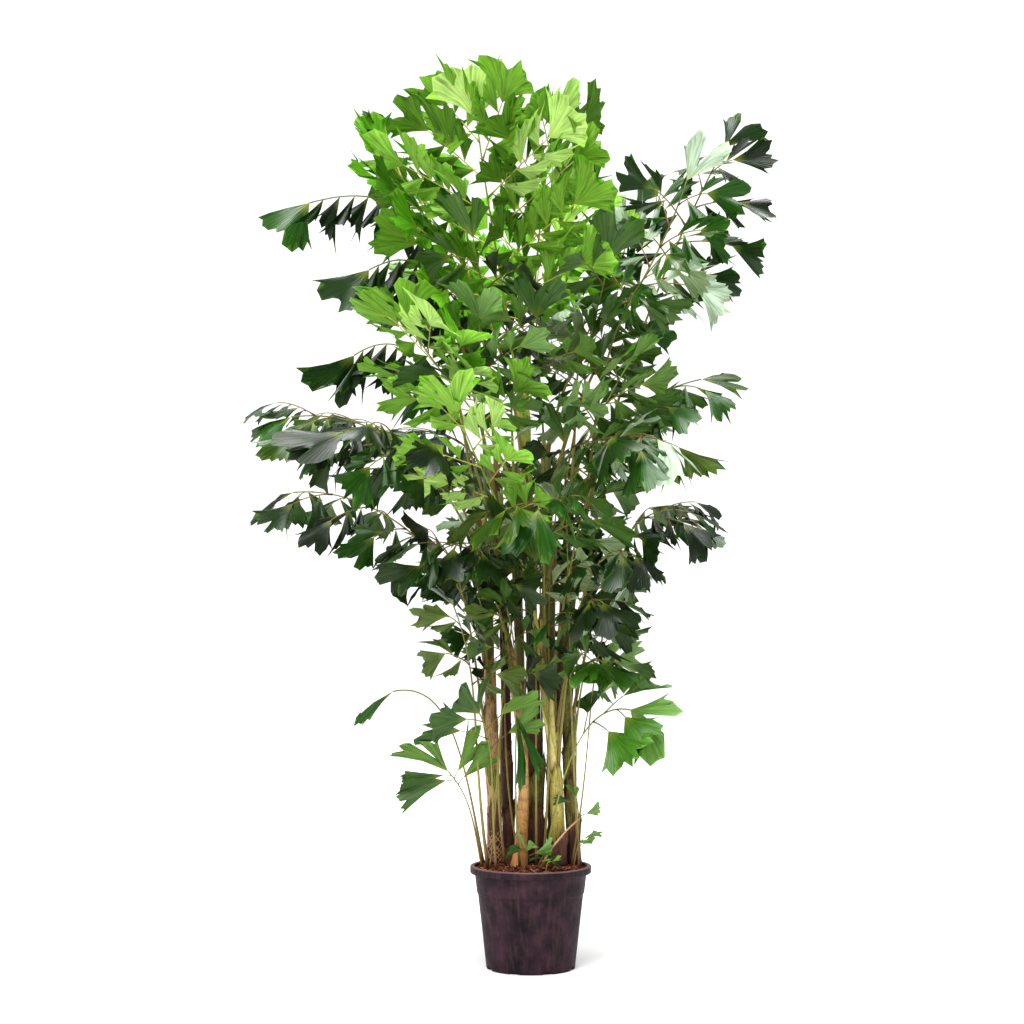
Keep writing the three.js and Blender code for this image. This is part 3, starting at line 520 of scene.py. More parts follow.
# A strongly arched frond bears its leaflets straight from the rib: how many, where the last but one sits, the
# angle from the rib near its foot and tip, how far they splay, and their size, with that of the last.
ARCH_LEAFLETS = 9
ARCH_REACH = 0.985
ARCH_ANGLES = (80, 55)
ARCH_SPLAY = 0.3
ARCH_SIZE = 1.32
ARCH_HANG = -45
ARCH_LAST = 1.45
ARCH_LAST_HANG = 150

# A flat leaf: the angles of its two edges, the length of its heel against its tail, and its notch. A side
# leaflet has a narrow edge towards its tail and a wide one towards its heel.
END_EDGES = (32, 46)
NARROW_EDGES = (10, 17)
WIDE_EDGES = (20, 34)
END_HEELS = (0.66, 1.0)
SIDE_HEELS = (0.42, 0.62)
SIDE_NOTCHES = (-0.03, 0.06)
NOTCH_PLACES = (0.44, 0.56)
NOTCH_SHARES = (0.1, 1.0)
NOTCH_WIDTH = 0.07
TAIL_POWER = 1.15
TAIL_POINTS = (1.0, 1.14)
TAIL_START = 0.97
SHOULDER = 0.16

# The cuts in its outer edge as shares of its length: broad lobes, teeth and a ragged margin.
LOBE_COUNTS = (1.6, 2.8)
LOBE_DEPTH = 0.15
TOOTH_DEPTH = 0.10
TOOTH_SHARES = (0.2, 1.3)
RAG_DEPTH = 0.05

# Its curves: how much closer the rays lie at the foot, how far it bends sideways like a sickle, how the cup
# varies, and the height and number of its ruffles.
FOOT_FAN = 0.72
SICKLE_SPREAD = 0.10
SIDE_SICKLE = 0.08
CUP_SPREAD = 0.35
RUFFLE_HEIGHT = 0.055
RUFFLE_TURNS = 1.4

# How it hangs: the share of its age's hang that turns its axis and that bends its blade, the least bend and
# the bend's spread in degrees, and how far its normal strays.
HANG_SHARES = (0.15, 0.65)
BEND_SHARES = (0.4, 1.2)
LEAST_BEND = 6
BEND_SPREAD = 8
STRAIGHT = 0.02  # radians
NORMAL_SPREAD = 0.16

LEAF_HALF_DEPTH = 0.0005
RING_PLACES = (0.42, 0.76, 1.0)
SIDE_RAYS = 11
END_RAYS = 15

# The map that patterns follow. A leaflet's veins lie about 1 mm apart, too fine to show, so VEINS are drawn
# across it, and STREAKS broader lighter and darker stripes, partly the leaf's own tone and partly painted
# shade and highlight of its pleats, that each change STREAK_CHANGES times along it.
PATTERN_MAP = "OFBake"
VEINS = 20
STREAKS = 15.0
STREAK_CHANGES = 1.6
COLUMN_MARGIN = 0.02

# Colours of the stalks from foot to tip, in shares of the length that comes last.
STALKS = {
    "young": (
        "Fresh frond stalk", ((0.0, "C4BC62"), (0.2, "B4B650"), (0.6, "8FA832"), (1.0, "79A52A")), 1.5
    ),
    "middle": (
        "Green frond stalk", ((0.0, "7C5A34"), (0.15, "8C8A40"), (0.6, "7C8E36"), (1.0, "5F8430")), 1.3
    ),
    "grown": (
        "Old frond stalk", ((0.0, "7A5A34"), (0.15, "948C48"), (0.5, "86883E"), (1.0, "55692B")), 1.6
    ),
}

# Sizes of the materials' patterns. Scurf, fibre and grain are really under 1 mm wide, too fine to show, and
# are drawn coarser. The others have their real size.
SCURF_SIZE = 14 * MM
FIBRE_SIZE = 3.2 * MM
GRAIN_SIZE = 5 * MM
BLOTCH_SIZE = 55 * MM
STAIN_SIZE = 24 * MM
SPECK_SIZE = 7 * MM
CLOUD_SIZE = 70 * MM
RUN_SIZE = 16 * MM
SCUFF_SIZE = 9 * MM

# The pot: its wall, the ledge under its collar and its rounded edges. Above OVAL_HEIGHT it is a little out of
# round.
POT_COLUMNS = 240
WALL_ROWS = 26
WALL = 0.0035
LEDGE = 0.003
COLLAR_SLOPE = 0.008
COLLAR_ROWS = (0.3, 0.65, 0.97)
ROUNDING = 0.004
LIP_ROUNDING = 0.003
LEDGE_ROUNDING = 0.0015
FOOT_BAND = 0.014
FOOT_LIFT = 0.0003
FLOOR_TOP = 0.004
OVAL_HEIGHT = 0.2
OVAL_SHARE = 0.0012

# The root ball's side from its foot up, its domed top from the wall inward, and the bark chips on it.
BALL_RADII = (0.09, 0.141, 0.1695, 0.1772)
BALL_HEIGHTS = (0.0045, 0.0045, 0.244, 0.310)
BALL_TOP = (0.1805, 0.006)
BALL_TOP_ROWS = 30
BALL_COLUMNS = 96
MOUND_SINK = 0.004
MOUND_FALL = 0.012
MOUND_RADIUS = 0.18
CHIP_REACH = 0.174
CHIP_BENDS = (-0.45, 0.15)
CHIP_LENGTHS = (0.25, 1.0)
CHIP_WIDTHS = (0.12, 0.34)
CHIP_DEPTHS = (0.0008, 0.0026)
CHIP_STANDS = (-0.001, 0.006)
CHIP_TILT = 0.28
CHIP_SLOPE = 0.22
CHIP_SHARES = (0.5, 0.32, 0.18)

# A cane's mesh and its ring scars: how their spacing varies, how they tilt, and how wide their ridge and
# stain are. Its upper end is rounded over BUD_HEIGHT. RIDGES are fibre ridges as counts round the cane and
# heights, which wander in radians by waves of RIDGE_WAVES.
CANE_STEP = 0.005
CANE_COLUMNS = 36
CANE_SINK = 0.010
MOST_SCARS = 60
FIRST_SCAR = 0.02
SCAR_SCATTER = (0.55, 1.35)
SCAR_GROWTH = (0.8, 1.6)
SCAR_TILT = 0.0025
SCAR_WIDTH = 0.0032
SCAR_STAIN = 0.0045
BUD_HEIGHT = 0.02
RIDGES = ((5, 0.5), (9, 0.35), (16, 0.28), (23, 0.16))
RIDGE_WANDER = 1.2
RIDGE_WAVES = (0.05, 0.15)

# Leaf colours by age: sRGB hex of the upper face and the underside, and how many sprays in ten wear them.
# The last grown tint is a painted sheen, and the palest and darkest young tints are partly painted highlight
# and painted shade.
TINTS = {
    "young": (
        ("78B826", "98C452", 3),
        ("5C9C18", "7CAA36", 3),
        # The next two tints are partly painted light: this palest one stands for lit edges and highlights,
        # and the darkest one below it for shaded young leaves.
        ("A6D25A", "B6D47C", 2),
        ("40740E", "5C8822", 2),
    ),
    "middle": (
        ("42721A", "64863A", 4),
        ("6A9644", "80A260", 3),
        ("284E14", "466630", 3),
    ),
    "grown": (
        ("1A380A", "3C5C1C", 3),
        ("265010", "466824", 3),
        ("122408", "2A4014", 2),
        ("345210", "526824", 1),
        # A painted sheen: a pale grey-green that stands for light reflected off glossy leaves, not their own
        # colour.
        ("AABEA4", "8EA276", 1),
    ),
}

# The shares of the grown tints for a frond that is deeper or paler than most: a deep one draws mostly the
# darkest tints as painted shade, a pale one mostly the palest as painted sheen.
PAINTED_SHADE_SHARES = (4, 2, 4, 0, 0)
PAINTED_SHEEN_SHARES = (2, 3, 0, 3, 2)

# How each age of leaf takes light: roughness, specular level, coat, contrast of its streaks, which are partly
# painted pleat shade and highlight, strength of the veins and the share that shines through.
FINISHES = {
    "young": dict(rough=0.45, shine=0.25, coat=0.0, streaks=0.60, veins=0.50, glow=0.30),
    "middle": dict(rough=0.42, shine=0.30, coat=0.10, streaks=0.50, veins=0.35, glow=0.15),
    "grown": dict(rough=0.36, shine=0.34, coat=0.24, streaks=0.50, veins=0.18, glow=0.0),
}


def linear(hex_code):
    """An sRGB hex code as linear red, green, blue and alpha."""
    channels = [int(hex_code[i : i + 2], 16) / 255 for i in (0, 2, 4)]
    toned = [c / 12.92 if c <= 0.04045 else ((c + 0.055) / 1.055) ** 2.4 for c in channels]
    return (*toned, 1.0)


def mix(a, b, share):
    """The value a share of the way from a to b."""
    return a + (b - a) * share


def dot(a, b):
    """Dot products along the last axis, which is kept."""
    return (a * b).sum(-1, keepdims=True)


def unit(v):
    """v over its length."""
    return v / np.maximum(np.linalg.norm(v, axis=-1, keepdims=True), 1e-12)


def squared(v, axis):
    """The part of v that is square to a unit axis, as a unit vector."""
    return unit(v - dot(v, axis) * axis)


def turned(v, axis, angle):
    """v turned about a unit axis by an angle: v cos + (axis x v) sin + axis (axis . v)(1 - cos)."""
    angle = np.asarray(angle)[..., None]
    cosine = np.cos(angle)
    return v * cosine + np.cross(axis, v) * np.sin(angle) + axis * dot(axis, v) * (1 - cosine)


def spokes(angles):
    """Level unit vectors at angles about the vertical axis."""
    return np.stack([np.cos(angles), np.sin(angles), np.zeros_like(angles)], -1)


def ring_angles(columns):
    """Even angles once round a circle."""
    return 2 * math.pi * np.arange(columns) / columns


def grid_faces(rows, columns, closed_rows=False):
    """Quads of a grid whose columns run round a closed loop, outward when it is anticlockwise from above."""
    row = np.arange(rows if closed_rows else rows - 1)[:, None]
    column = np.arange(columns)[None, :]
    above = (row + 1) % rows
    beside = (column + 1) % columns
    corners = (
        row * columns + column, row * columns + beside, above * columns + beside, above * columns + column
    )
    return np.stack(np.broadcast_arrays(*corners), -1).reshape(-1, 4)


def grid_map(quads, columns, along):
    """The map of such quads: u once round the loop, and v each row's place along."""
    u = quads % columns / columns
    u[:, 1:3] = np.where(u[:, 1:3] < u[:, :1], 1.0, u[:, 1:3])
    return np.stack([u, along[quads // columns]], -1)


def end_caps(rows, columns):
    """Triangles that close both ends of such a grid on two poles, whose points follow the grid's."""
    here = np.arange(columns)
    after = (here + 1) % columns
    top = (rows - 1) * columns
    low_pole, high_pole = (np.full(columns, rows * columns + k) for k in (0, 1))
    low = np.stack([low_pole, after, here], -1)
    high = np.stack([high_pole, top + here, top + after], -1)
    return np.concatenate([low, high])


def end_cap_map(columns, length):
    """The caps' map: v is 0 at the low end and length at the high end."""
    places = np.zeros((2 * columns, 3, 2))
    places[columns:, :, 1] = length
    return places


def gathered(tables):
    """One table of arrays from many that have the same keys."""
    return {key: np.concatenate([table[key] for table in tables]) for key in tables[0]}


def new_piece(name, points, faces, materials, slots=None, maps=None, sharp=None, values=()):
    """A mesh object from arrays. faces is a list of arrays of corners, slots the material of each face, maps
    a list of arrays of map places like faces, sharp a function of an edge's two points, and values a named
    number for each point."""
    mesh = bpy.data.meshes.new(name)
    points = np.ascontiguousarray(points, np.float32).reshape(-1, 3)
    corners = np.concatenate([f.ravel() for f in faces]).astype(np.int32)
    sizes = np.concatenate([np.full(len(f), f.shape[1]) for f in faces])
    mesh.vertices.add(len(points))
    mesh.vertices.foreach_set("co", points.ravel())
    mesh.loops.add(len(corners))
    mesh.loops.foreach_set("vertex_index", corners)
    mesh.polygons.add(len(sizes))
    mesh.polygons.foreach_set("loop_start", (np.cumsum(sizes) - sizes).astype(np.int32))
    if slots is not None:
        mesh.polygons.foreach_set("material_index", np.asarray(slots, np.int32))
    mesh.update(calc_edges=True)
    mesh.shade_smooth()
    if maps is not None:
        layer = mesh.uv_layers.new(name=PATTERN_MAP)
        places = np.concatenate([m.reshape(-1, 2) for m in maps]).astype(np.float32)
        layer.uv.foreach_set("vector", places.ravel())
    if sharp is not None:
        ends = np.empty(2 * len(mesh.edges), np.int32)
        mesh.edges.foreach_get("vertices", ends)
        marks = mesh.attributes.new("sharp_edge", "BOOLEAN", "EDGE")
        marks.data.foreach_set("value", sharp(ends[0::2], ends[1::2]))
    for label, numbers in dict(values).items():
        layer = mesh.attributes.new(label, "FLOAT", "POINT")
        layer.data.foreach_set("value", np.asarray(numbers, np.float32).ravel())
    for material in materials:
        mesh.materials.append(material)
    mesh.validate()
    piece = bpy.data.objects.new(name, mesh)
    bpy.context.scene.collection.objects.link(piece)
    return piece


def add(tree, kind, inputs=(), stops=None, **settings):
    """Adds a node with its settings. inputs pairs sockets with values or with other nodes' outputs, and stops
    pairs places with colours on a ramp."""
    node = tree.nodes.new(kind)
    for name, value in settings.items():
        setattr(node, name, value)
    for socket, value in dict(inputs).items():
        if isinstance(value, bpy.types.NodeSocket):
            tree.links.new(value, node.inputs[socket])
        else:
            node.inputs[socket].default_value = value
    if stops:
        ramp = node.color_ramp.elements
        while len(ramp) < len(stops):
            ramp.new(1.0)
        for element, (place, colour) in zip(ramp, stops):
            element.position = place
            element.color = colour
    return node


def new_material(name):
    """An empty node material: its tree and its output node."""
    material = bpy.data.materials.new(name)
    material.use_nodes = True
    material.node_tree.nodes.clear()
    return material, material.node_tree


def finished(material, tree, shader):
    """Links a shader to the material's output."""
    add(tree, "ShaderNodeOutputMaterial", {"Surface": shader.outputs[0]})
    return material


def leaf_material(name, tint, cells, finish, coat):
    """Living palm leaf: a thin waxy cuticle over pleated tissue. The eye sees a satin green with fine paler
    veins, darker and lighter streaks that fan out from the stalk, which are partly its own tone and partly
    painted shade and highlight of its pleats, a yellower foot and a dry margin. The pattern follows the
    leaf's own map, where each tint has a column of its own, cells columns in all."""
    material, tree = new_material(name)
    place = add(tree, "ShaderNodeUVMap", uv_map=PATTERN_MAP)
    split = add(tree, "ShaderNodeSeparateXYZ", {0: place.outputs[0]})
    turn = add(
        tree, "ShaderNodeMath", {0: split.outputs[0], 1: 2 * math.pi * cells * VEINS}, operation="MULTIPLY"
    )
    wave = add(tree, "ShaderNodeMath", {0: turn.outputs[0]}, operation="COSINE")
    vein = add(
        tree, "ShaderNodeMapRange",
        {"Value": wave.outputs[0], "From Min": 0.3, "From Max": 1.0, "To Max": finish["veins"]},
    )
    colour = linear(tint)
    # Streak colours darker and lighter than the tint: partly the leaf's own tone, partly painted pleat shade
    # and highlight.
    dark = tuple(c * (1 - finish["streaks"]) for c in colour[:3]) + (1.0,)
    light = tuple(min(1.0, c * (1 + finish["streaks"])) for c in colour[:3]) + (1.0,)
    pale = tuple(min(1.0, 1.6 * c + 0.010) for c in colour[:3]) + (1.0,)
    foot = tuple(mix(c, p, 0.6) for c, p in zip(colour[:3], linear("A9B045")[:3])) + (1.0,)
    stretch = (cells * STREAKS, STREAK_CHANGES, 1.0)
    fan = add(tree, "ShaderNodeMapping", {"Vector": place.outputs[0], "Scale": stretch})
    noise = add(
        tree, "ShaderNodeTexNoise", {"Vector": fan.outputs[0], "Scale": 1.0, "Detail": 3.0, "Roughness": 0.6}
    )
    streaked = add(
        tree, "ShaderNodeValToRGB", {0: noise.outputs[0]}, stops=((0.30, dark), (0.50, colour), (0.70, light))
    )
    near_foot = add(
        tree, "ShaderNodeMapRange",
        {"Value": split.outputs[1], "From Max": 0.3, "To Min": 0.9, "To Max": 0.0},
    )
    footed = add(
        tree, "ShaderNodeMix", {0: near_foot.outputs[0], 6: streaked.outputs[0], 7: foot}, data_type="RGBA"
    )
    near_edge = add(
        tree, "ShaderNodeMapRange",
        {"Value": split.outputs[1], "From Min": 0.93, "From Max": 1.0, "To Max": 0.45},
    )
    edged = add(
        tree, "ShaderNodeMix", {0: near_edge.outputs[0], 6: footed.outputs[2], 7: pale}, data_type="RGBA"
    )
    veined = add(
        tree, "ShaderNodeMix", {0: vein.outputs[0], 6: edged.outputs[2], 7: pale}, data_type="RGBA"
    )
    rise = add(tree, "ShaderNodeBump", {"Strength": 0.3, "Distance": 0.0006, "Height": wave.outputs[0]})
    skin = add(
        tree, "ShaderNodeBsdfPrincipled",
        {
            "Base Color": veined.outputs[2], "Roughness": finish["rough"],
            "Specular IOR Level": finish["shine"], "Coat Weight": coat, "Coat Roughness": 0.32,
            "Normal": rise.outputs[0],
        },
    )
    if not finish["glow"]:
        return finished(material, tree, skin)
    through = add(tree, "ShaderNodeBsdfTranslucent", {"Color": light, "Normal": rise.outputs[0]})
    shader = add(
        tree, "ShaderNodeMixShader", {0: finish["glow"], 1: skin.outputs[0], 2: through.outputs[0]}
    )
    return finished(material, tree, shader)


def rib_of(plan):
    """The rib's line as four Bezier points, its chord, its sideways direction and its roll."""
    if "cane" in plan:
        start = cane_centre(CANES[plan["cane"]], np.array(plan["leaves"]))
    else:
        start = np.array([*plan["foot"], SOIL_TOP - SHOOT_DEPTH])
    tip = np.array(plan["tip"])
    outward = unit((tip - start) * (1, 1, 0))
    chord = np.linalg.norm(tip - start)
    pitch = math.radians(plan["pitch"])
    lift = chord * plan.get("lift", USUAL_LIFT)
    rise = start + lift * (math.cos(STALK_ANGLE) * UP + math.sin(STALK_ANGLE) * outward)
    approach = tip - chord * TIP_PULL * (math.cos(pitch) * outward + math.sin(pitch) * UP)
    return dict(
        points=(start, rise, approach, tip),
        chord=chord,
        side=np.cross(UP, outward),
        roll=math.radians(plan.get("roll", 0)),
        scale=min(1.0, mix(SLENDER_SHARE, 1, chord / SLENDER_LENGTH)),
    )


def rib_frames(rib, t):
    """Place, direction, sideways and upper normal at each t: p = sum of the four points by the cubic Bezier
    weights, along = its derivative, side = the level sideways direction made square to along and rolled."""
    t = np.asarray(t, float)[..., None]
    a, b, c, d = rib["points"]
    point = (1 - t) ** 3 * a + 3 * t * (1 - t) ** 2 * b + 3 * t * t * (1 - t) * c + t**3 * d
    along = unit(3 * (1 - t) ** 2 * (b - a) + 6 * t * (1 - t) * (c - b) + 3 * t * t * (d - c))
    side = squared(np.broadcast_to(rib["side"], along.shape), along)
    side = turned(side, along, np.full(along.shape[:-1], rib["roll"]))
    return point, along, side, np.cross(along, side)


def cane_share(cane, z):
    """Heights as shares of the cane's."""
    return (z - SOIL_TOP) / (cane["top"][2] - SOIL_TOP)


def cane_centre(cane, z):
    """The cane's middle at heights z: a parabola from foot to top, bowed towards bend."""
    s = cane_share(cane, z)[..., None]
    flat = (1 - s) ** 2 * np.array(cane["foot"]) + 2 * s * (1 - s) * np.array(cane["bend"])
    flat = flat + s * s * np.array(cane["top"][:2])
    return np.concatenate([flat, np.asarray(z)[..., None]], -1)


def cane_radius(cane, z):
    """Taper to the tip, with a swelling at the foot that dies away with height."""
    swelling = FLARE_SHARE * np.exp(-np.maximum(z - SOIL_TOP, 0) / FLARE_HEIGHT)
    return cane["radius"] * (mix(1, CANE_TIP_SHARE, cane_share(cane, z)) + swelling)


def frond_parts(plan, rng, twig_share):
    """One frond's rib, twigs and leaflets as arrays. Twigs leave the rib by turns on each side, and each
    bears leaflets by turns and a fishtail at its end."""
    rib = rib_of(plan)
    age = AGES[plan["age"]]
    arched = plan.get("split", False)
    twigless = arched or plan["pairs"] == 0
    count = 0 if twigless else 2 * max(1, round(plan["pairs"] * age["twigs"] * twig_share))
    share = (np.arange(count) + 0.5) / max(1, count)
    t = mix(plan["stalk"], LAST_BRANCH, share)
    way = np.where(np.arange(count) % 2, -1.0, 1.0)
    point, along, side, normal = rib_frames(rib, t)
    angle = np.radians(mix(*BRANCH_ANGLES, share) + rng.normal(0, TWIG_STRAY, count))
    tilt = np.radians(rng.normal(0, TWIG_TILT, count))[:, None]
    out = along * np.cos(angle)[:, None] + side * (way * np.sin(angle))[:, None]
    out = unit(out * np.cos(tilt) + normal * np.sin(tilt))
    longest = plan["spread"] * np.sin(math.pi * mix(*BRANCH_PLACES, share))
    length = longest * rng.uniform(*TWIG_LENGTHS, count)
    twigs = dict(root=point, out=out, normal=normal, length=length, sag=np.full(count, age["sag"]))
    tint = rng.choice(len(TINTS[plan["age"]]), count + 1, p=tint_shares(plan))

    leaves = [rib_leaves(plan, rib, rng)] if arched else []
    per_side = np.clip(np.round(length / age["spacing"]), 1, MOST_PER_SIDE).astype(int)
    for i in range(0 if plan.get("bare") else count):
        twig = {key: value[i] for key, value in twigs.items()}
        leaves.append(twig_leaves(plan, twig, per_side[i], way[i], rng))
        leaves[-1]["tint"] = np.full(2 * per_side[i], tint[i])
    leaves.append(end_leaves(plan, rib, twigs, rng))
    leaves[-1]["tint"] = tint
    joined = gathered(leaves)
    for key in ("hang", "pleat", "cup", "twist", "fan", "notch"):
        joined[key] = np.full(len(joined["length"]), float(age[key]))
    joined["length"] *= age["size"]
    joined["fan"] *= plan.get("fan", 1.0)
    joined["fan"][-1] *= LAST_FAN
    joined["notch"][-1] = LAST_NOTCH
    if arched:
        joined["hang"] += ARCH_HANG
        joined["hang"][-1] = ARCH_LAST_HANG
        joined["notch"][-1] = age["notch"]
    return rib, twigs, joined


def twig_leaves(plan, twig, per_side, way, rng):
    """The side leaflets of one twig, by turns from the side that way names."""
    count = 2 * per_side
    places = np.arange(count)
    u = mix(*LEAF_STRETCH, (places + 0.5) / count) + rng.normal(0, LEAF_SCATTER, count)
    side = np.where(places % 2, -1.0, 1.0) * way
    root, along, normal = twig_frames(twig, u)
    across = np.cross(normal, along)
    lean = np.radians(LEAFLET_ANGLE + rng.normal(0, LEAFLET_STRAY, count))
    fullness = mix(*LEAF_FULLNESS, np.sin(math.pi * u))
    length = plan["leaf"] * rng.uniform(*SIDE_SIZES, count) * fullness
    return dict(
        root=root, axis=along * np.cos(lean)[:, None] + across * (side * np.sin(lean))[:, None],
        normal=normal, length=length, side=side, end=np.zeros(count),
    )


def end_leaves(plan, rib, twigs, rng):
    """The leaves at the ends of the twigs, and last the one at the rib's end."""
    arched = plan.get("split", False)
    count = len(twigs["length"])
    ends = twig_frames(twigs, np.ones(count))
    point, along, side, normal = rib_frames(rib, np.array([1.0]))
    last_size = ARCH_LAST * plan.get("last", 1.0) if arched else LAST_SIZE
    return dict(
        root=np.concatenate([ends[0], point]),
        axis=np.concatenate([ends[1], along]),
        normal=np.concatenate([ends[2], side if arched else normal]),
        length=plan["leaf"] * np.append(rng.uniform(*END_SIZES, count), last_size),
        side=np.ones(count + 1),
        end=np.ones(count + 1),
    )


def rib_leaves(plan, rib, rng):
    """Leaflets that hang straight from the rib of an arched frond, in the upright plane of the rib."""
    count = ARCH_LEAFLETS
    share = (np.arange(count) + 0.5) / count
    point, along, side, _ = rib_frames(rib, mix(plan["stalk"], ARCH_REACH, share))
    way = np.where(np.arange(count) % 2, -1.0, 1.0)
    lean = np.radians(mix(*ARCH_ANGLES, share) + rng.normal(0, LEAFLET_STRAY, count))[:, None]
    down = unit(-UP + side * way[:, None] * ARCH_SPLAY)
    length = plan["leaf"] * rng.uniform(*SIDE_SIZES, count) * ARCH_SIZE
    tint = rng.choice(len(TINTS[plan["age"]]), count, p=tint_shares(plan))
    return dict(
        root=point, axis=along * np.cos(lean) + down * np.sin(lean), normal=side, length=length, side=way,
        end=np.zeros(count), tint=tint,
    )


def twig_frames(twig, u):
    """Place, direction and normal of a twig at u: root + out L u + down sag L u^2."""
    reach = (twig["length"] * u)[..., None]
    fall = (twig["sag"] * twig["length"] * u * u)[..., None]
    point = twig["root"] + twig["out"] * reach - UP * fall
    direction = unit(twig["out"] - UP * (2 * twig["sag"] * u)[..., None])
    return point, direction, squared(np.broadcast_to(twig["normal"], direction.shape), direction)


def tint_shares(plan):
    """How often each tint of a frond's age is dealt to its sprays. A deep frond draws mostly dark ones as
    painted shade, and a pale one mostly light ones as painted sheen."""
    shares = [row[2] for row in TINTS[plan["age"]]]
    # Painted light: a deep frond's dark tints paint shade, and a pale frond's light tints paint sheen.
    if plan.get("deep"):
        shares = PAINTED_SHADE_SHARES
    elif plan.get("pale"):
        shares = PAINTED_SHEEN_SHARES
    return np.array(shares) / sum(shares)


def leaf_template(rays):
    """The faces of one closed leaf: rays from the foot crossed by rings, an upper sheet and an underside that
    share the foot, the two side edges and the outer edge. Each point has its ray, ring and whether it is on
    the edge. Each kind of face has its corners, their places across and along the leaf, and 1 if it is on
    the underside."""
    rings = len(RING_PLACES)
    inner_rays, inner_rings = rays - 2, rings - 1
    upper = 1 + np.arange(rays * rings).reshape(rays, rings)
    lower = upper.copy()
    lower[1:-1, :-1] = 1 + rays * rings + np.arange(inner_rays * inner_rings).reshape(inner_rays, -1)
    upper_ray, upper_ring = np.divmod(np.arange(rays * rings), rings)
    inner_ray, inner_ring = np.divmod(np.arange(inner_rays * inner_rings), inner_rings)
    ray = np.concatenate([[-1], upper_ray, inner_ray + 1])
    ring = np.concatenate([[0], upper_ring + 1, inner_ring + 1])
    place = np.stack([ray / (rays - 1), np.array([0, *RING_PLACES])[ring]], -1)
    sheets = dict(triangles=[], quads=[])
    for sheet, step in ((upper, 1), (lower, -1)):
        triangles = np.stack([np.zeros(rays - 1, int), sheet[:-1, 0], sheet[1:, 0]], -1)
        quads = np.stack([sheet[:-1, :-1], sheet[:-1, 1:], sheet[1:, 1:], sheet[1:, :-1]], -1).reshape(-1, 4)
        at_foot = place[triangles]
        at_foot[:, 0, 0] = at_foot[:, 1:, 0].mean(1)
        for kind, corners, places in (("triangles", triangles, at_foot), ("quads", quads, place[quads])):
            under = np.full(len(corners), int(step < 0))
            sheets[kind].append((corners[:, ::step], places[:, ::step], under))
    faces = {kind: [np.concatenate(parts) for parts in zip(*pair)] for kind, pair in sheets.items()}
    edge = (ray <= 0) | (ray == rays - 1) | (ring == rings)
    return dict(faces=faces, points=len(ray), ray=ray, ring=ring, edge=edge)


def flat_leaves(leaves, rays, rng):
    """The points of many leaves before they hang, by leaf, ray and ring.

    A flat leaf is a fan: ray k leaves the foot at angle a_k and ends at length R_k, which is a smooth reach
    (short at the heel, long at the tail, with a notch in an end leaf) cut by teeth and lobes. Rings cross it
    at RING_PLACES. Pleats lift every other ray, and the blade is bent sideways by x^2 and cupped by y^2.
    """
    n = len(leaves["length"])
    is_end = leaves["end"][0] > 0.5
    length = leaves["length"][:, None]
    tail_low = leaves["side"][:, None] > 0
    odd = np.arange(rays) % 2 > 0
    s = np.linspace(0, 1, rays)[None, :]
    if is_end:
        low = -rng.uniform(*END_EDGES, (n, 1))
        high = rng.uniform(*END_EDGES, (n, 1))
        heel = rng.uniform(*END_HEELS, (n, 1))
        notch = leaves["notch"][:, None] * rng.uniform(*NOTCH_SHARES, (n, 1))
        notch = np.minimum(notch, DEEPEST_NOTCH)
    else:
        low = -np.where(tail_low, rng.uniform(*NARROW_EDGES, (n, 1)), rng.uniform(*WIDE_EDGES, (n, 1)))
        high = np.where(tail_low, rng.uniform(*WIDE_EDGES, (n, 1)), rng.uniform(*NARROW_EDGES, (n, 1)))
        heel = rng.uniform(*SIDE_HEELS, (n, 1))
        notch = rng.uniform(*SIDE_NOTCHES, (n, 1))
    low = low * leaves["fan"][:, None]
    high = high * leaves["fan"][:, None]
    to_tail = np.where(tail_low, 1 - s, s)
    middle = rng.uniform(*NOTCH_PLACES, (n, 1))
    smooth = mix(heel, 1.0, to_tail**TAIL_POWER)
    smooth = smooth * (1 - notch * np.exp(-(((s - middle) / NOTCH_WIDTH) ** 2)))
    if is_end:
        smooth = smooth * (1 - SHOULDER * (2 * s - 1) ** 4)
    phase = rng.uniform(0, 2 * math.pi, (n, 1))
    lobes = 0.5 + 0.5 * np.sin(2 * math.pi * rng.uniform(*LOBE_COUNTS, (n, 1)) * s + phase)
    teeth = odd * rng.uniform(*TOOTH_SHARES, (n, rays))
    cut = 1 - LOBE_DEPTH * lobes**2 - TOOTH_DEPTH * teeth - RAG_DEPTH * rng.random((n, rays))
    cut[:, 0] = cut[:, -1] = 1.0
    reach = smooth * np.where(to_tail > TAIL_START, rng.uniform(*TAIL_POINTS, (n, 1)), 1.0)
    ring = np.array(RING_PLACES)[None, None, :]
    radius = reach[..., None] * ring * np.where(ring == 1.0, cut[..., None], 1.0) * length[..., None]
    angle = np.radians(mix(low, high, s))[..., None] * mix(FOOT_FAN, 1.0, ring)
    x = radius * np.cos(angle)
    y = radius * np.sin(angle)
    span = length[..., None]
    sickle = rng.normal(0, SICKLE_SPREAD, (n, 1, 1))
    if not is_end:
        sickle = sickle - leaves["side"][:, None, None] * SIDE_SICKLE
    y = y + sickle * x * x / span
    spacing = radius * np.radians(high - low)[..., None] / (rays - 1)
    pleat = np.where(odd, 1.0, -1.0)[None, :, None] * leaves["pleat"][:, None, None] * spacing
    cup = leaves["cup"][:, None, None] + rng.normal(0, CUP_SPREAD, (n, 1, 1))
    wave = np.sin(2 * math.pi * RUFFLE_TURNS * s[..., None] + phase[..., None])
    z = pleat + cup * y * y / span + RUFFLE_HEIGHT * span * ring**2 * wave
    return np.stack([x, y, z], -1)


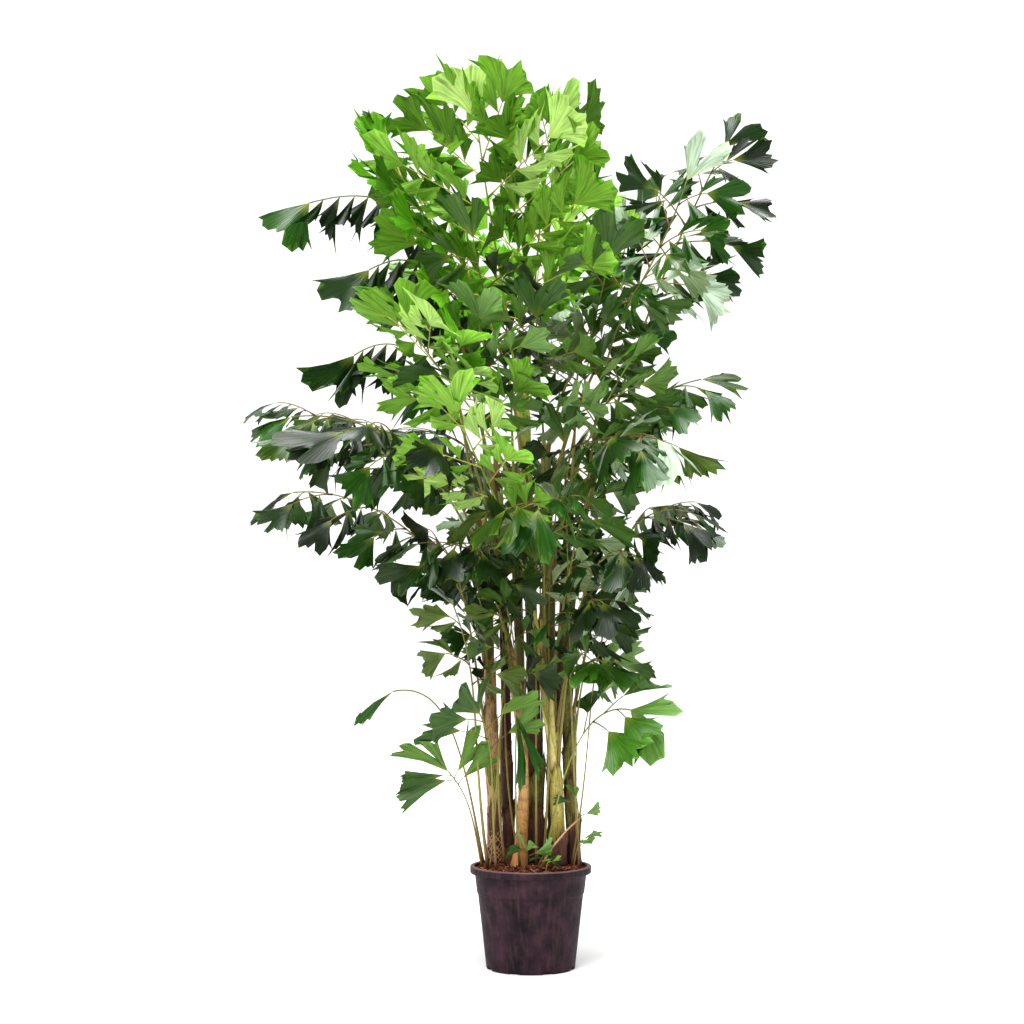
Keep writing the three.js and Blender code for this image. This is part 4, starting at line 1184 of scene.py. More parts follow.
def leaf_points(leaves, rays, rng):
    """The points of many leaves at once: flat leaves with their two sheets set apart, twisted about their
    axis by x, rolled round a cylinder so that they bend by the angle bend over their length, and hung in
    place. A blade that bends less than STRAIGHT is bent by that."""
    n = len(leaves["length"])
    length = leaves["length"][:, None]
    template = leaf_template(rays)
    is_upper = np.arange(template["points"]) < 1 + rays * len(RING_PLACES)
    by_ray = flat_leaves(leaves, rays, rng)
    flat = by_ray[:, np.maximum(template["ray"], 0), np.maximum(template["ring"] - 1, 0)]
    flat[..., 2] += np.where(template["edge"], 0.0, np.where(is_upper, 1.0, -1.0)) * LEAF_HALF_DEPTH
    flat[:, 0] = 0.0

    of_end = np.where(leaves["end"] > 0.5, 0.5, 1.0)
    hang = np.radians(leaves["hang"] * rng.uniform(*HANG_SHARES, n) * of_end)[:, None]
    axis = unit(unit(leaves["axis"]) * np.cos(hang) - UP * np.sin(hang))
    normal = squared(leaves["normal"] + rng.normal(0, NORMAL_SPREAD, (n, 3)), axis)
    side = np.cross(normal, axis)
    bend = np.radians(leaves["hang"] * rng.uniform(*BEND_SHARES, n) + LEAST_BEND) * dot(normal, UP)[:, 0]
    bend = bend + np.radians(rng.normal(0, BEND_SPREAD, n))
    bend = np.where(np.abs(bend) < STRAIGHT, STRAIGHT, bend)[:, None]
    twist = np.radians(leaves["twist"] * rng.normal(0, 1, n))[:, None]

    run = flat[..., 0] / length
    cosine, sine = np.cos(twist * run), np.sin(twist * run)
    y = flat[..., 1] * cosine - flat[..., 2] * sine
    z = flat[..., 1] * sine + flat[..., 2] * cosine
    curl = bend * run
    radius = length / bend
    forward = (radius + z) * np.sin(curl)
    lift = -radius * (1 - np.cos(curl)) + z * np.cos(curl)
    shifts = ((forward, axis), (y, side), (lift, normal))
    return leaves["root"][:, None] + sum(far[..., None] * way[:, None] for far, way in shifts)


def leaf_piece(name, leaves, tints, materials, rng):
    """Joins leaves of both kinds in one mesh, with a column of the map and two materials for each tint."""
    points, edges = [], []
    joined = dict(triangles=[], quads=[])
    first = 0
    for is_end, rays in ((False, SIDE_RAYS), (True, END_RAYS)):
        chosen = {key: value[(leaves["end"] > 0.5) == is_end] for key, value in leaves.items()}
        n = len(chosen["length"])
        if not n:
            continue
        template = leaf_template(rays)
        points.append(leaf_points(chosen, rays, rng).reshape(-1, 3))
        edges.append(np.tile(template["edge"], n))
        start = first + np.arange(n)[:, None, None] * template["points"]
        tint = chosen["tint"].astype(int)
        for kind, (corners, places, under) in template["faces"].items():
            spots = np.tile(places, (n, 1, 1, 1))
            across = mix(COLUMN_MARGIN, 1 - COLUMN_MARGIN, spots[..., 0])
            spots[..., 0] = (tint[:, None, None] + across) / tints
            faces = (start + corners).reshape(-1, corners.shape[1])
            slots = (2 * tint[:, None] + under).ravel()
            joined[kind].append((faces, spots.reshape(-1, *places.shape[1:]), slots))
        first += n * template["points"]
    triangles, quads = ([np.concatenate(parts) for parts in zip(*rows)] for rows in joined.values())
    edge = np.concatenate(edges)
    return new_piece(
        name, np.concatenate(points), [triangles[0], quads[0]], materials,
        slots=np.concatenate([triangles[2], quads[2]]), maps=[triangles[1], quads[1]],
        sharp=lambda a, b: edge[a] & edge[b],
    )


def tube_points(centres, normals, half_widths, half_depths, sides):
    """Points of many tubes. A ring is centre + side w cos a + normal d sin a, with the tangent from the
    centres' differences and side = normal x tangent. The last two points are the poles."""
    tangent = unit(np.gradient(centres, axis=1))
    normal = squared(normals, tangent)
    side = np.cross(normal, tangent)
    a = ring_angles(sides)
    wide = half_widths[..., None, None] * np.cos(a)[:, None] * side[:, :, None]
    deep = half_depths[..., None, None] * np.sin(a)[:, None] * normal[:, :, None]
    rings = centres[:, :, None] + wide + deep
    count = len(centres)
    poles = np.stack([centres[:, 0], centres[:, -1]], 1)
    return np.concatenate([rings.reshape(count, -1, 3), poles], 1)


def tube_piece(name, centres, normals, half_widths, half_depths, sides, materials):
    """Joins many closed tubes of the same number of rings. u runs round a tube and v along it in metres."""
    count, rows = centres.shape[:2]
    points = tube_points(centres, normals, half_widths, half_depths, sides)
    quads = grid_faces(rows, sides)
    caps = end_caps(rows, sides)
    start = np.arange(count)[:, None, None] * (rows * sides + 2)
    steps = np.linalg.norm(np.diff(centres, axis=1), axis=-1)
    lengths = np.concatenate([np.zeros((count, 1)), np.cumsum(steps, 1)], 1)
    quad_maps = np.concatenate([grid_map(quads, sides, along) for along in lengths])
    cap_maps = np.concatenate([end_cap_map(sides, along[-1]) for along in lengths])
    faces = [(start + quads).reshape(-1, 4), (start + caps).reshape(-1, 3)]
    return new_piece(name, points, faces, materials, maps=[quad_maps, cap_maps])


def stalk_material(name, stops, length):
    """Living stalk of a frond: smooth rind with a dusty scurf. The eye sees a matt satin skin, brown at the
    foot and yellow-green above, with faint dark freckles. stops are places along the length and colours."""
    material, tree = new_material(name)
    place = add(tree, "ShaderNodeUVMap", uv_map=PATTERN_MAP)
    split = add(tree, "ShaderNodeSeparateXYZ", {0: place.outputs[0]})
    share = add(tree, "ShaderNodeMath", {0: split.outputs[1], 1: 1 / length}, operation="MULTIPLY")
    where = add(tree, "ShaderNodeTexCoord")
    fine = add(
        tree, "ShaderNodeTexNoise",
        {"Vector": where.outputs["Object"], "Scale": 1 / SCURF_SIZE, "Detail": 3.0, "Roughness": 0.6},
    )
    wander = add(
        tree, "ShaderNodeMath", {0: fine.outputs[0], 1: 0.16, 2: share.outputs[0]}, operation="MULTIPLY_ADD"
    )
    ramp = add(
        tree, "ShaderNodeValToRGB", {0: wander.outputs[0]},
        stops=[(min(1.0, at + 0.08), linear(colour)) for at, colour in stops],
    )
    spots = add(
        tree, "ShaderNodeMapRange",
        {"Value": fine.outputs[0], "From Min": 0.52, "From Max": 0.72, "To Max": 0.4},
    )
    scurf = add(
        tree, "ShaderNodeMix", {0: spots.outputs[0], 6: ramp.outputs[0], 7: linear("4A3A26")},
        data_type="RGBA",
    )
    rise = add(tree, "ShaderNodeBump", {"Strength": 0.3, "Distance": 0.0008, "Height": fine.outputs[0]})
    shader = add(
        tree, "ShaderNodeBsdfPrincipled",
        {"Base Color": scurf.outputs[2], "Roughness": 0.5, "Normal": rise.outputs[0]},
    )
    return finished(material, tree, shader)


def bark_material(name, stops, streaks, height=0.95):
    """Palm cane: a smooth ringed rind under torn leaf sheaths. The eye sees bands of tan, olive and brown up
    the cane, dark rings at the leaf scars, long dark fibre streaks and small dark spots."""
    material, tree = new_material(name)
    place = add(tree, "ShaderNodeUVMap", uv_map=PATTERN_MAP)
    split = add(tree, "ShaderNodeSeparateXYZ", {0: place.outputs[0]})
    where = add(tree, "ShaderNodeTexCoord")
    blotch = add(
        tree, "ShaderNodeTexNoise",
        {"Vector": where.outputs["Object"], "Scale": 1 / BLOTCH_SIZE, "Detail": 4.0, "Roughness": 0.6},
    )
    share = add(tree, "ShaderNodeMath", {0: split.outputs[1], 1: 1 / height}, operation="MULTIPLY")
    wander = add(
        tree, "ShaderNodeMath", {0: blotch.outputs[0], 1: 0.22, 2: share.outputs[0]}, operation="MULTIPLY_ADD"
    )
    ramp = add(
        tree, "ShaderNodeValToRGB", {0: wander.outputs[0]},
        stops=[(min(1.0, at / height + 0.11), linear(colour)) for at, colour in stops],
    )
    stretched = add(
        tree, "ShaderNodeMapping", {"Vector": where.outputs["Object"], "Scale": (1.0, 1.0, 0.055)}
    )
    fibre = add(
        tree, "ShaderNodeTexNoise",
        {"Vector": stretched.outputs[0], "Scale": 1 / FIBRE_SIZE, "Detail": 3.0, "Roughness": 0.65},
    )
    streak = add(
        tree, "ShaderNodeMapRange",
        {"Value": fibre.outputs[0], "From Min": 0.47, "From Max": 0.66, "To Max": streaks},
    )
    streaked = add(
        tree, "ShaderNodeMix", {0: streak.outputs[0], 6: ramp.outputs[0], 7: linear("2E1C14")},
        data_type="RGBA",
    )
    drawn = add(
        tree, "ShaderNodeMapping", {"Vector": where.outputs["Object"], "Scale": (1.0, 1.0, 0.22)}
    )
    stain = add(
        tree, "ShaderNodeTexNoise",
        {"Vector": drawn.outputs[0], "Scale": 1 / STAIN_SIZE, "Detail": 4.0, "Roughness": 0.65},
    )
    stained = add(
        tree, "ShaderNodeMapRange",
        {"Value": stain.outputs[0], "From Min": 0.53, "From Max": 0.60, "To Max": 0.85 * streaks},
    )
    patched = add(
        tree, "ShaderNodeMix", {0: stained.outputs[0], 6: streaked.outputs[2], 7: linear("4C2A22")},
        data_type="RGBA",
    )
    speck = add(
        tree, "ShaderNodeTexNoise",
        {"Vector": where.outputs["Object"], "Scale": 1 / SPECK_SIZE, "Detail": 1.0, "Roughness": 0.5},
    )
    spot = add(
        tree, "ShaderNodeMapRange",
        {"Value": speck.outputs[0], "From Min": 0.66, "From Max": 0.71, "To Max": 0.75},
    )
    spotted = add(
        tree, "ShaderNodeMix", {0: spot.outputs[0], 6: patched.outputs[2], 7: linear("3A2418")},
        data_type="RGBA",
    )
    scar = add(tree, "ShaderNodeAttribute", attribute_name="scar")
    ring = add(tree, "ShaderNodeMath", {0: scar.outputs["Fac"], 1: 0.4}, operation="MULTIPLY")
    ringed = add(
        tree, "ShaderNodeMix", {0: ring.outputs[0], 6: spotted.outputs[2], 7: linear("52361F")},
        data_type="RGBA",
    )
    rise = add(tree, "ShaderNodeBump", {"Strength": 0.6, "Distance": 0.0015, "Height": fibre.outputs[0]})
    shader = add(
        tree, "ShaderNodeBsdfPrincipled",
        {"Base Color": ringed.outputs[2], "Roughness": 0.68, "Normal": rise.outputs[0]},
    )
    return finished(material, tree, shader)


def chip_material(name, colour, dark):
    """Composted pine bark: dull split flakes. The eye sees matt red-brown faces with darker grain lines."""
    material, tree = new_material(name)
    where = add(tree, "ShaderNodeTexCoord")
    grain = add(
        tree, "ShaderNodeTexNoise",
        {"Vector": where.outputs["Object"], "Scale": 1 / GRAIN_SIZE, "Detail": 5.0, "Roughness": 0.7},
    )
    ramp = add(
        tree, "ShaderNodeValToRGB", {0: grain.outputs[0]},
        stops=((0.32, linear(dark)), (0.68, linear(colour))),
    )
    rise = add(tree, "ShaderNodeBump", {"Strength": 0.8, "Distance": 0.002, "Height": grain.outputs[0]})
    shader = add(
        tree, "ShaderNodeBsdfPrincipled",
        {"Base Color": ramp.outputs[0], "Roughness": 0.88, "Normal": rise.outputs[0]},
    )
    return finished(material, tree, shader)


def pot_material(name, colour):
    """Polypropylene, blow moulded from recycled stock. The eye sees satin plum-black with a dull bloom, pale
    runs of dried dust down the wall, fine scuffs that run round it and a rim lighter at its top edge, partly
    wear and partly a painted highlight."""
    material, tree = new_material(name)
    where = add(tree, "ShaderNodeTexCoord")
    cloud = add(
        tree, "ShaderNodeTexNoise",
        {"Vector": where.outputs["Object"], "Scale": 1 / CLOUD_SIZE, "Detail": 5.0, "Roughness": 0.62},
    )
    mottled = add(
        tree, "ShaderNodeValToRGB", {0: cloud.outputs[0]},
        stops=((0.32, linear("1E161C")), (0.5, tuple(colour)), (0.68, linear("46303A"))),
    )
    drawn = add(tree, "ShaderNodeMapping", {"Vector": where.outputs["Object"], "Scale": (1.0, 1.0, 0.09)})
    runs = add(
        tree, "ShaderNodeTexNoise",
        {"Vector": drawn.outputs[0], "Scale": 1 / RUN_SIZE, "Detail": 4.0, "Roughness": 0.6},
    )
    run_share = add(
        tree, "ShaderNodeMapRange",
        {"Value": runs.outputs[0], "From Min": 0.5, "From Max": 0.72, "To Max": 0.42},
    )
    dusty = add(
        tree, "ShaderNodeMix", {0: run_share.outputs[0], 6: mottled.outputs[0], 7: linear("5C4644")},
        data_type="RGBA",
    )
    scuff_place = add(
        tree, "ShaderNodeMapping", {"Vector": where.outputs["Object"], "Scale": (0.25, 0.25, 3.0)}
    )
    scuff = add(
        tree, "ShaderNodeTexNoise",
        {"Vector": scuff_place.outputs[0], "Scale": 1 / SCUFF_SIZE, "Detail": 6.0, "Roughness": 0.75},
    )
    rough = add(
        tree, "ShaderNodeMapRange",
        {"Value": scuff.outputs[0], "From Min": 0.3, "From Max": 0.7, "To Min": 0.48, "To Max": 0.66},
    )
    rise = add(tree, "ShaderNodeBump", {"Strength": 0.25, "Distance": 0.001, "Height": scuff.outputs[0]})
    # The rim's top edge is painted lighter by height: partly wear, partly a painted highlight where light
    # catches the lip.
    split = add(tree, "ShaderNodeSeparateXYZ", {0: where.outputs["Object"]})
    level = add(
        tree, "ShaderNodeMath", {0: scuff.outputs[0], 1: 4 * MM, 2: split.outputs[2]},
        operation="MULTIPLY_ADD",
    )
    edge = add(
        tree, "ShaderNodeMapRange",
        {
            "Value": level.outputs[0], "From Min": POT_HEIGHT - 2.5 * MM,
            "From Max": POT_HEIGHT + 2 * MM, "To Max": 0.75,
        },
    )
    worn_and_highlit = add(
        tree, "ShaderNodeMix", {0: edge.outputs[0], 6: dusty.outputs[2], 7: linear("8E7A76")},
        data_type="RGBA",
    )
    shader = add(
        tree, "ShaderNodeBsdfPrincipled",
        {
            "Base Color": worn_and_highlit.outputs[2], "Roughness": rough.outputs[0], "Specular IOR Level": 0.15,
            "Normal": rise.outputs[0],
        },
    )
    return finished(material, tree, shader)


def plain_material(name, colour, roughness, glow=0.0):
    """A matt surface of one colour, lit a little from within where glow is above zero."""
    material, tree = new_material(name)
    shader = add(
        tree, "ShaderNodeBsdfPrincipled",
        {
            "Base Color": linear(colour), "Roughness": roughness,
            "Emission Color": linear(colour), "Emission Strength": glow,
        },
    )
    return finished(material, tree, shader)


def revolved(radii, heights, columns):
    """Points of a profile turned about the vertical axis. radii and heights are rows, or rows by columns."""
    radii, heights = (rows.reshape(len(rows), -1, 1) for rows in (radii, heights))
    return radii * spokes(ring_angles(columns)) + heights * UP


def lathe_piece(name, rings, low_pole, high_pole, materials):
    """A closed piece from rows of rings, lowest first, with a pole at each end."""
    rows, columns = rings.shape[:2]
    points = np.concatenate([rings.reshape(-1, 3), [low_pole, high_pole]])
    return new_piece(name, points, [grid_faces(rows, columns), end_caps(rows, columns)], materials)


def arc(middle, radius, start, end, steps):
    """Points of a circle's arc as radius and height pairs; angles in degrees from outward, anticlockwise."""
    a = np.radians(np.linspace(start, end, steps))
    return np.stack([middle[0] + radius * np.cos(a), middle[1] + radius * np.sin(a)], -1)


def pot_profile(settings):
    """The tub's outline as radius and height pairs: up the outside, over the rim and down the inside."""
    rim_foot = POT_HEIGHT - settings.rim_depth
    collar = settings.collar_foot
    collar_radius = settings.collar_radius
    collar_foot_radius = collar_radius - COLLAR_SLOPE
    wall_top = collar_foot_radius - LEDGE
    foot = settings.foot_radius
    rim_middle = POT_RADIUS - ROUNDING
    lip_middle = (collar_radius + LIP_ROUNDING, POT_HEIGHT - LIP_ROUNDING)
    share = np.linspace(0.012, 1, WALL_ROWS)
    wall = np.stack([mix(foot, wall_top, share), (collar - LEDGE) * share], -1)
    band = [(mix(collar_foot_radius, collar_radius, s), mix(collar, rim_foot, s)) for s in COLLAR_ROWS]
    inside = [
        (collar_radius - 0.001, POT_HEIGHT - 0.014),
        (collar_radius - WALL, rim_foot),
        (collar_foot_radius - WALL, collar),
        (wall_top - WALL, collar - LEDGE),
        (foot - WALL, FLOOR_TOP + 0.002),
        (foot - 0.03, FLOOR_TOP),
    ]
    return np.concatenate([
        wall,
        arc((collar_foot_radius - LEDGE_ROUNDING, collar + 0.0005), LEDGE_ROUNDING, -60, 0, 3),
        band,
        arc((rim_middle, rim_foot + ROUNDING), ROUNDING, -90, -10, 5),
        arc((rim_middle, POT_HEIGHT - ROUNDING), ROUNDING, 10, 90, 5),
        arc(lip_middle, LIP_ROUNDING, 90, 180, 4),
        inside,
    ])


def make_pot(settings):
    """The tub: a profile of straight walls and rounded edges turned about the axis. The wall's lower edge is
    lifted over each drain notch by a smooth gate of the angle."""
    profile = pot_profile(settings)
    foot = settings.foot_radius
    inner_foot = foot - FOOT_BAND
    a = ring_angles(POT_COLUMNS)
    turn = 2 * math.pi / settings.drains
    offset = (a + math.pi / 2) % turn - turn / 2
    half = settings.drain_width / 2 / foot
    gate = np.clip((half - np.abs(offset)) / (0.2 * half) + 0.5, 0, 1)
    lift = FOOT_LIFT + settings.drain_height * gate
    base = revolved(
        np.array([inner_foot * 0.5, inner_foot, inner_foot, foot - 0.003, foot - 0.0006]),
        np.stack([0 * lift, 0 * lift, lift, lift, lift + 0.001]), POT_COLUMNS,
    )
    is_high = (profile[:, 1] > OVAL_HEIGHT)[:, None]
    radii = profile[:, 0][:, None] * (1 + OVAL_SHARE * np.sin(2 * a + 0.6) * is_high)
    radii = np.minimum(radii, POT_RADIUS)
    is_wall = (np.arange(len(profile)) < WALL_ROWS)[:, None]
    heights = np.maximum(profile[:, 1][:, None], (lift + 0.002)[None] * is_wall)
    rings = np.concatenate([base, revolved(radii, heights, POT_COLUMNS)])
    material = pot_material("Recycled polypropylene, plum black", settings.plastic)
    piece = lathe_piece("nursery_pot", rings, (0, 0, 0), (0, 0, FLOOR_TOP), [material])
    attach(piece, "root")
    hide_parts("pot")


def mound_height(x, y):
    """Height of the mulch: a low dome with sums of sines for its lumps."""
    r = np.hypot(x, y)
    lumps = 0.0022 * np.sin(61 * x + 1.3) * np.sin(57 * y + 0.4) + 0.0016 * np.sin(113 * x + 97 * y)
    return SOIL_TOP - MOUND_SINK - MOUND_FALL * (r / MOUND_RADIUS) ** 3 + lumps


def make_soil(settings, rng):
    """The root ball is a profile turned about the axis, with its top lifted to the mound. The chips are bent
    boxes: eight corners pushed about at random, laid nearly flat."""
    low = revolved(np.array(BALL_RADII), np.array(BALL_HEIGHTS), BALL_COLUMNS)
    top = np.linspace(*BALL_TOP, BALL_TOP_ROWS)[:, None, None] * spokes(ring_angles(BALL_COLUMNS))
    top[..., 2] = mound_height(top[..., 0], top[..., 1])
    foot = (0, 0, BALL_HEIGHTS[0])
    middle = (0, 0, float(mound_height(0.0, 0.0)))
    peat = chip_material("Peat and fine bark", "6A3A2C", "2E1812")
    soil = lathe_piece("peat_ball", np.concatenate([low, top]), foot, middle, [peat])
    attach(soil, "root")
    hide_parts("soil")

    count = settings.chips
    radius = CHIP_REACH * np.sqrt(rng.random(count))
    angle = rng.uniform(0, 2 * math.pi, count)
    x, y = radius * np.cos(angle), radius * np.sin(angle)
    corners = np.array([[i, j, k] for k in (-1, 1) for j in (-1, 1) for i in (-1, 1)], float)
    box = corners * (1 + rng.uniform(*CHIP_BENDS, (count, 8, 3)))
    length = settings.chip_length * rng.uniform(*CHIP_LENGTHS, count) ** 1.3
    width = settings.chip_length * rng.uniform(*CHIP_WIDTHS, count)
    depth = rng.uniform(*CHIP_DEPTHS, count)
    box = box * np.stack([length, width, depth], -1)[:, None] / np.array([2, 2, 1])
    heading = rng.uniform(0, 2 * math.pi, count)
    forward = unit(spokes(heading) + UP * rng.normal(0, CHIP_SLOPE, count)[:, None])
    normal = squared(UP + rng.normal(0, CHIP_TILT, (count, 3)), forward)
    across = np.cross(normal, forward)
    place = np.stack([x, y, mound_height(x, y) + rng.uniform(*CHIP_STANDS, count)], -1)
    points = place[:, None] + box[..., :1] * forward[:, None] + box[..., 1:2] * across[:, None]
    points = points + box[..., 2:] * normal[:, None]
    quads = np.array([[0, 2, 3, 1], [4, 5, 7, 6], [0, 1, 5, 4], [2, 6, 7, 3], [0, 4, 6, 2], [1, 3, 7, 5]])
    faces = (np.arange(count)[:, None, None] * 8 + quads).reshape(-1, 4)
    slots = np.repeat(rng.choice(3, count, p=CHIP_SHARES), len(quads))
    materials = [
        chip_material("Pine bark, red brown", "9C5644", "4A241C"),
        chip_material("Pine bark, dark", "6A3A2C", "2C1611"),
        chip_material("Pine bark, pale inner face", "C49674", "85503C"),
    ]
    chips = new_piece("bark_chips", points, [faces], materials, slots=slots, sharp=lambda a, b: a >= 0)
    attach(chips, "root")


def make_cane(name, cane, settings, rng):
    """One cane: radius(angle, height) = taper and flare + a ridge at each leaf scar + a slight swelling
    between scars + long fibre ridges, which are sums of cosines of the angle that wander with height."""
    top = cane["top"][2]
    rows = int((top - SOIL_TOP) / CANE_STEP)
    z = np.linspace(SOIL_TOP - CANE_SINK, top, rows)
    a = ring_angles(CANE_COLUMNS)
    gaps = settings.scar_spacing * rng.uniform(*SCAR_SCATTER, MOST_SCARS)
    scars = SOIL_TOP + FIRST_SCAR + np.cumsum(gaps * np.linspace(*SCAR_GROWTH, MOST_SCARS))
    tilt = rng.normal(0, SCAR_TILT, MOST_SCARS)
    turn = rng.uniform(0, 6, MOST_SCARS)
    distance = np.abs(z[:, None, None] - scars - tilt * np.cos(a[:, None] + turn)).min(-1)
    after = np.searchsorted(scars, z)
    below = np.where(after > 0, scars[np.maximum(after - 1, 0)], SOIL_TOP)
    above = scars[np.minimum(after, MOST_SCARS - 1)]
    share = np.clip((z - below) / np.maximum(above - below, 0.01), 0, 1)[:, None]
    relief = settings.relief
    radius = cane_radius(cane, z)[:, None] + relief * np.exp(-((distance / SCAR_WIDTH) ** 2))
    radius = radius + 0.5 * relief * share**2
    for count, height in RIDGES:
        wander = RIDGE_WANDER * np.sin(z / rng.uniform(*RIDGE_WAVES) + rng.uniform(0, 6))[:, None]
        radius = radius + relief * height * cane["streaks"] * np.cos(count * a + wander + rng.uniform(0, 6))
    bud = np.sqrt(np.clip((top - z) / BUD_HEIGHT, 0.002, 1))
    radius = radius * np.where(z > top - BUD_HEIGHT, bud, 1.0)[:, None]
    centre = cane_centre(cane, z)
    rings = centre[:, None] + radius[..., None] * spokes(a)
    points = np.concatenate([rings.reshape(-1, 3), [centre[0], centre[-1]]])
    quads = grid_faces(rows, CANE_COLUMNS)
    maps = [grid_map(quads, CANE_COLUMNS, z - SOIL_TOP), end_cap_map(CANE_COLUMNS, top - SOIL_TOP)]
    scar = np.append(np.exp(-((distance / SCAR_STAIN) ** 2)).ravel(), [0, 0])
    bark = bark_material("Ringed palm rind, " + name.replace("_", " "), cane["bark"], cane["streaks"])
    faces = [quads, end_caps(rows, CANE_COLUMNS)]
    piece = new_piece("bark_" + name, points, faces, [bark], maps=maps, values={"scar": scar})
    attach(piece, "root")
    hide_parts("cane_" + name)


def sleeve_points(cane, low, high, outward, thick, rng):
    """A leaf sheath round its cane: a closed sleeve whose outer face stands off the cane by thick, more at
    the top, and whose upper edge is high at the stalk and low behind it, with a torn margin."""
    a = ring_angles(SLEEVE_COLUMNS)
    facing = math.atan2(outward[1], outward[0])
    near = 0.5 + 0.5 * np.cos(a - facing)
    teeth = np.where(np.arange(SLEEVE_COLUMNS) % 2, SLEEVE_TEETH, -SLEEVE_TEETH)
    torn = rng.normal(0, SLEEVE_TEAR, SLEEVE_COLUMNS) + teeth
    top = mix(low + SLEEVE_BACK * (high - low), high, near**1.5) + torn
    foot = low + SLEEVE_SLANT * np.sin(a - facing) + rng.normal(0, SLEEVE_STRAY, SLEEVE_COLUMNS)
    share = np.linspace(0, 1, SLEEVE_ROWS)[:, None]
    z = mix(np.maximum(foot, DEEPEST_SHEATH), top, share)
    centre = cane_centre(cane, z) + outward * (SLEEVE_LEAN * share * share)[..., None] * near[:, None]
    ribs, rib_height = SLEEVE_RIBS
    stand = SLEEVE_GAP + thick * share + rib_height * np.cos(ribs * a) * share
    outer = centre + (cane_radius(cane, z) + stand)[..., None] * spokes(a)
    inner = centre + (cane_radius(cane, z) + stand - SHEATH_THICKNESS)[..., None] * spokes(a)
    return np.concatenate([outer, inner[::-1]])


def sheath_wraps(rng):
    """Every sheath's kind, cane, foot, top, the way it faces and how far it stands off at its top."""
    wraps = []
    for plan in FRONDS.values():
        if "cane" not in plan:
            continue
        cane = CANES[plan["cane"]]
        start = cane_centre(cane, np.array(plan["leaves"]))
        outward = unit((np.array(plan["tip"]) - start) * (1, 1, 0))
        low = plan["leaves"] - rng.uniform(*SHEATH_LENGTHS)
        kind = cane["wrap"] if plan["leaves"] < DRY_HEIGHT else plan["age"]
        wraps.append((kind, cane, low, plan["leaves"] + SHEATH_OVERLAP, outward, SHEATH_STAND))
    for kind, name, low, high, heading, thick in OLD_SHEATHS:
        wraps.append((kind, CANES[name], low, high, spokes(np.radians(heading)), thick))
    return wraps


def fringe(cane, edge, count, rng):
    """Short threads that rise from a sheath's edge and curve away from its cane as share squared."""
    foot = edge[rng.choice(len(edge), count, replace=True)]
    length = rng.uniform(*FIBRE_LENGTHS, count)
    away = unit(foot - cane_centre(cane, foot[:, 2]))
    share = np.linspace(0, 1, FIBRE_ROWS)[None, :, None]
    lean = away[:, None] * share**2 * rng.uniform(*FIBRE_LEANS, (count, 1, 1))
    sway = np.cross(away, UP)[:, None] * share**2 * rng.normal(0, FIBRE_SWAY, (count, 1, 1))
    return foot[:, None] + length[:, None, None] * (UP * (share - FIBRE_ROOT) + lean + sway)


def make_straps():
    """The pale straps of a split sheath, as flat tubes."""
    lines = np.array([points for points, _ in STRAPS])
    wide = np.array([np.linspace(*widths, lines.shape[1]) for _, widths in STRAPS])
    deep = np.full_like(wide, STRAP_HALF_DEPTH)
    stops = ((0.0, "B4A04C"), (0.10, "E0D08C"), (0.35, "D8CC80"))
    cream = stalk_material("Split leaf sheath, cream", stops, 0.35)
    return tube_piece("sheath_straps", lines, np.broadcast_to(FRONT, lines.shape), wide, deep, 10, [cream])


def make_net(rng):
    """Threads that wind both ways round the foot of the left cane."""
    share = np.linspace(0, 1, NET_ROWS)[None]
    way = np.repeat([1.0, -1.0], NET_THREADS)[:, None]
    start = np.tile(np.arange(NET_THREADS) / NET_THREADS, 2)[:, None]
    start = start + rng.uniform(-NET_STRAY, NET_STRAY, way.shape)
    angle = 2 * math.pi * (start + way * NET_TURNS * share)
    z = np.broadcast_to(mix(*NET_SPAN, share), angle.shape)
    left = CANES["left"]
    around = spokes(angle)
    coil = cane_centre(left, z) + (cane_radius(left, z) + NET_STAND)[..., None] * around
    wide, deep = (np.full(angle.shape, radius) for radius in NET_RADII)
    fibre = plain_material("Palm fibre, pinkish tan", "B48A70", 0.8)
    return tube_piece("sheath_net", coil, around, wide, deep, 5, [fibre])


def make_dry_stalk():
    """The fallen stalk, as one tube."""
    line = np.array([DRY_STALK])
    radius = np.linspace(*DRY_STALK_RADII, len(DRY_STALK))[None]
    dry = stalk_material("Dry frond stalk", ((0.0, "8A6448"), (0.4, "C09A78"), (1.0, "B48C68")), 0.25)
    return tube_piece("dry_stalk", line, np.broadcast_to(UP, line.shape), radius, radius, 10, [dry])


def make_fibres(threads):
    """The brown fibres of all torn edges, as thin tubes."""
    facing = np.broadcast_to(np.array(FIBRE_FACING), threads.shape)
    width = np.broadcast_to(np.linspace(*FIBRE_RADII, FIBRE_ROWS), threads.shape[:2])
    fibre = plain_material("Palm fibre, brown", "4A3020", 0.85)
    return tube_piece("sheath_fibres", threads, facing, width, width, 3, [fibre])


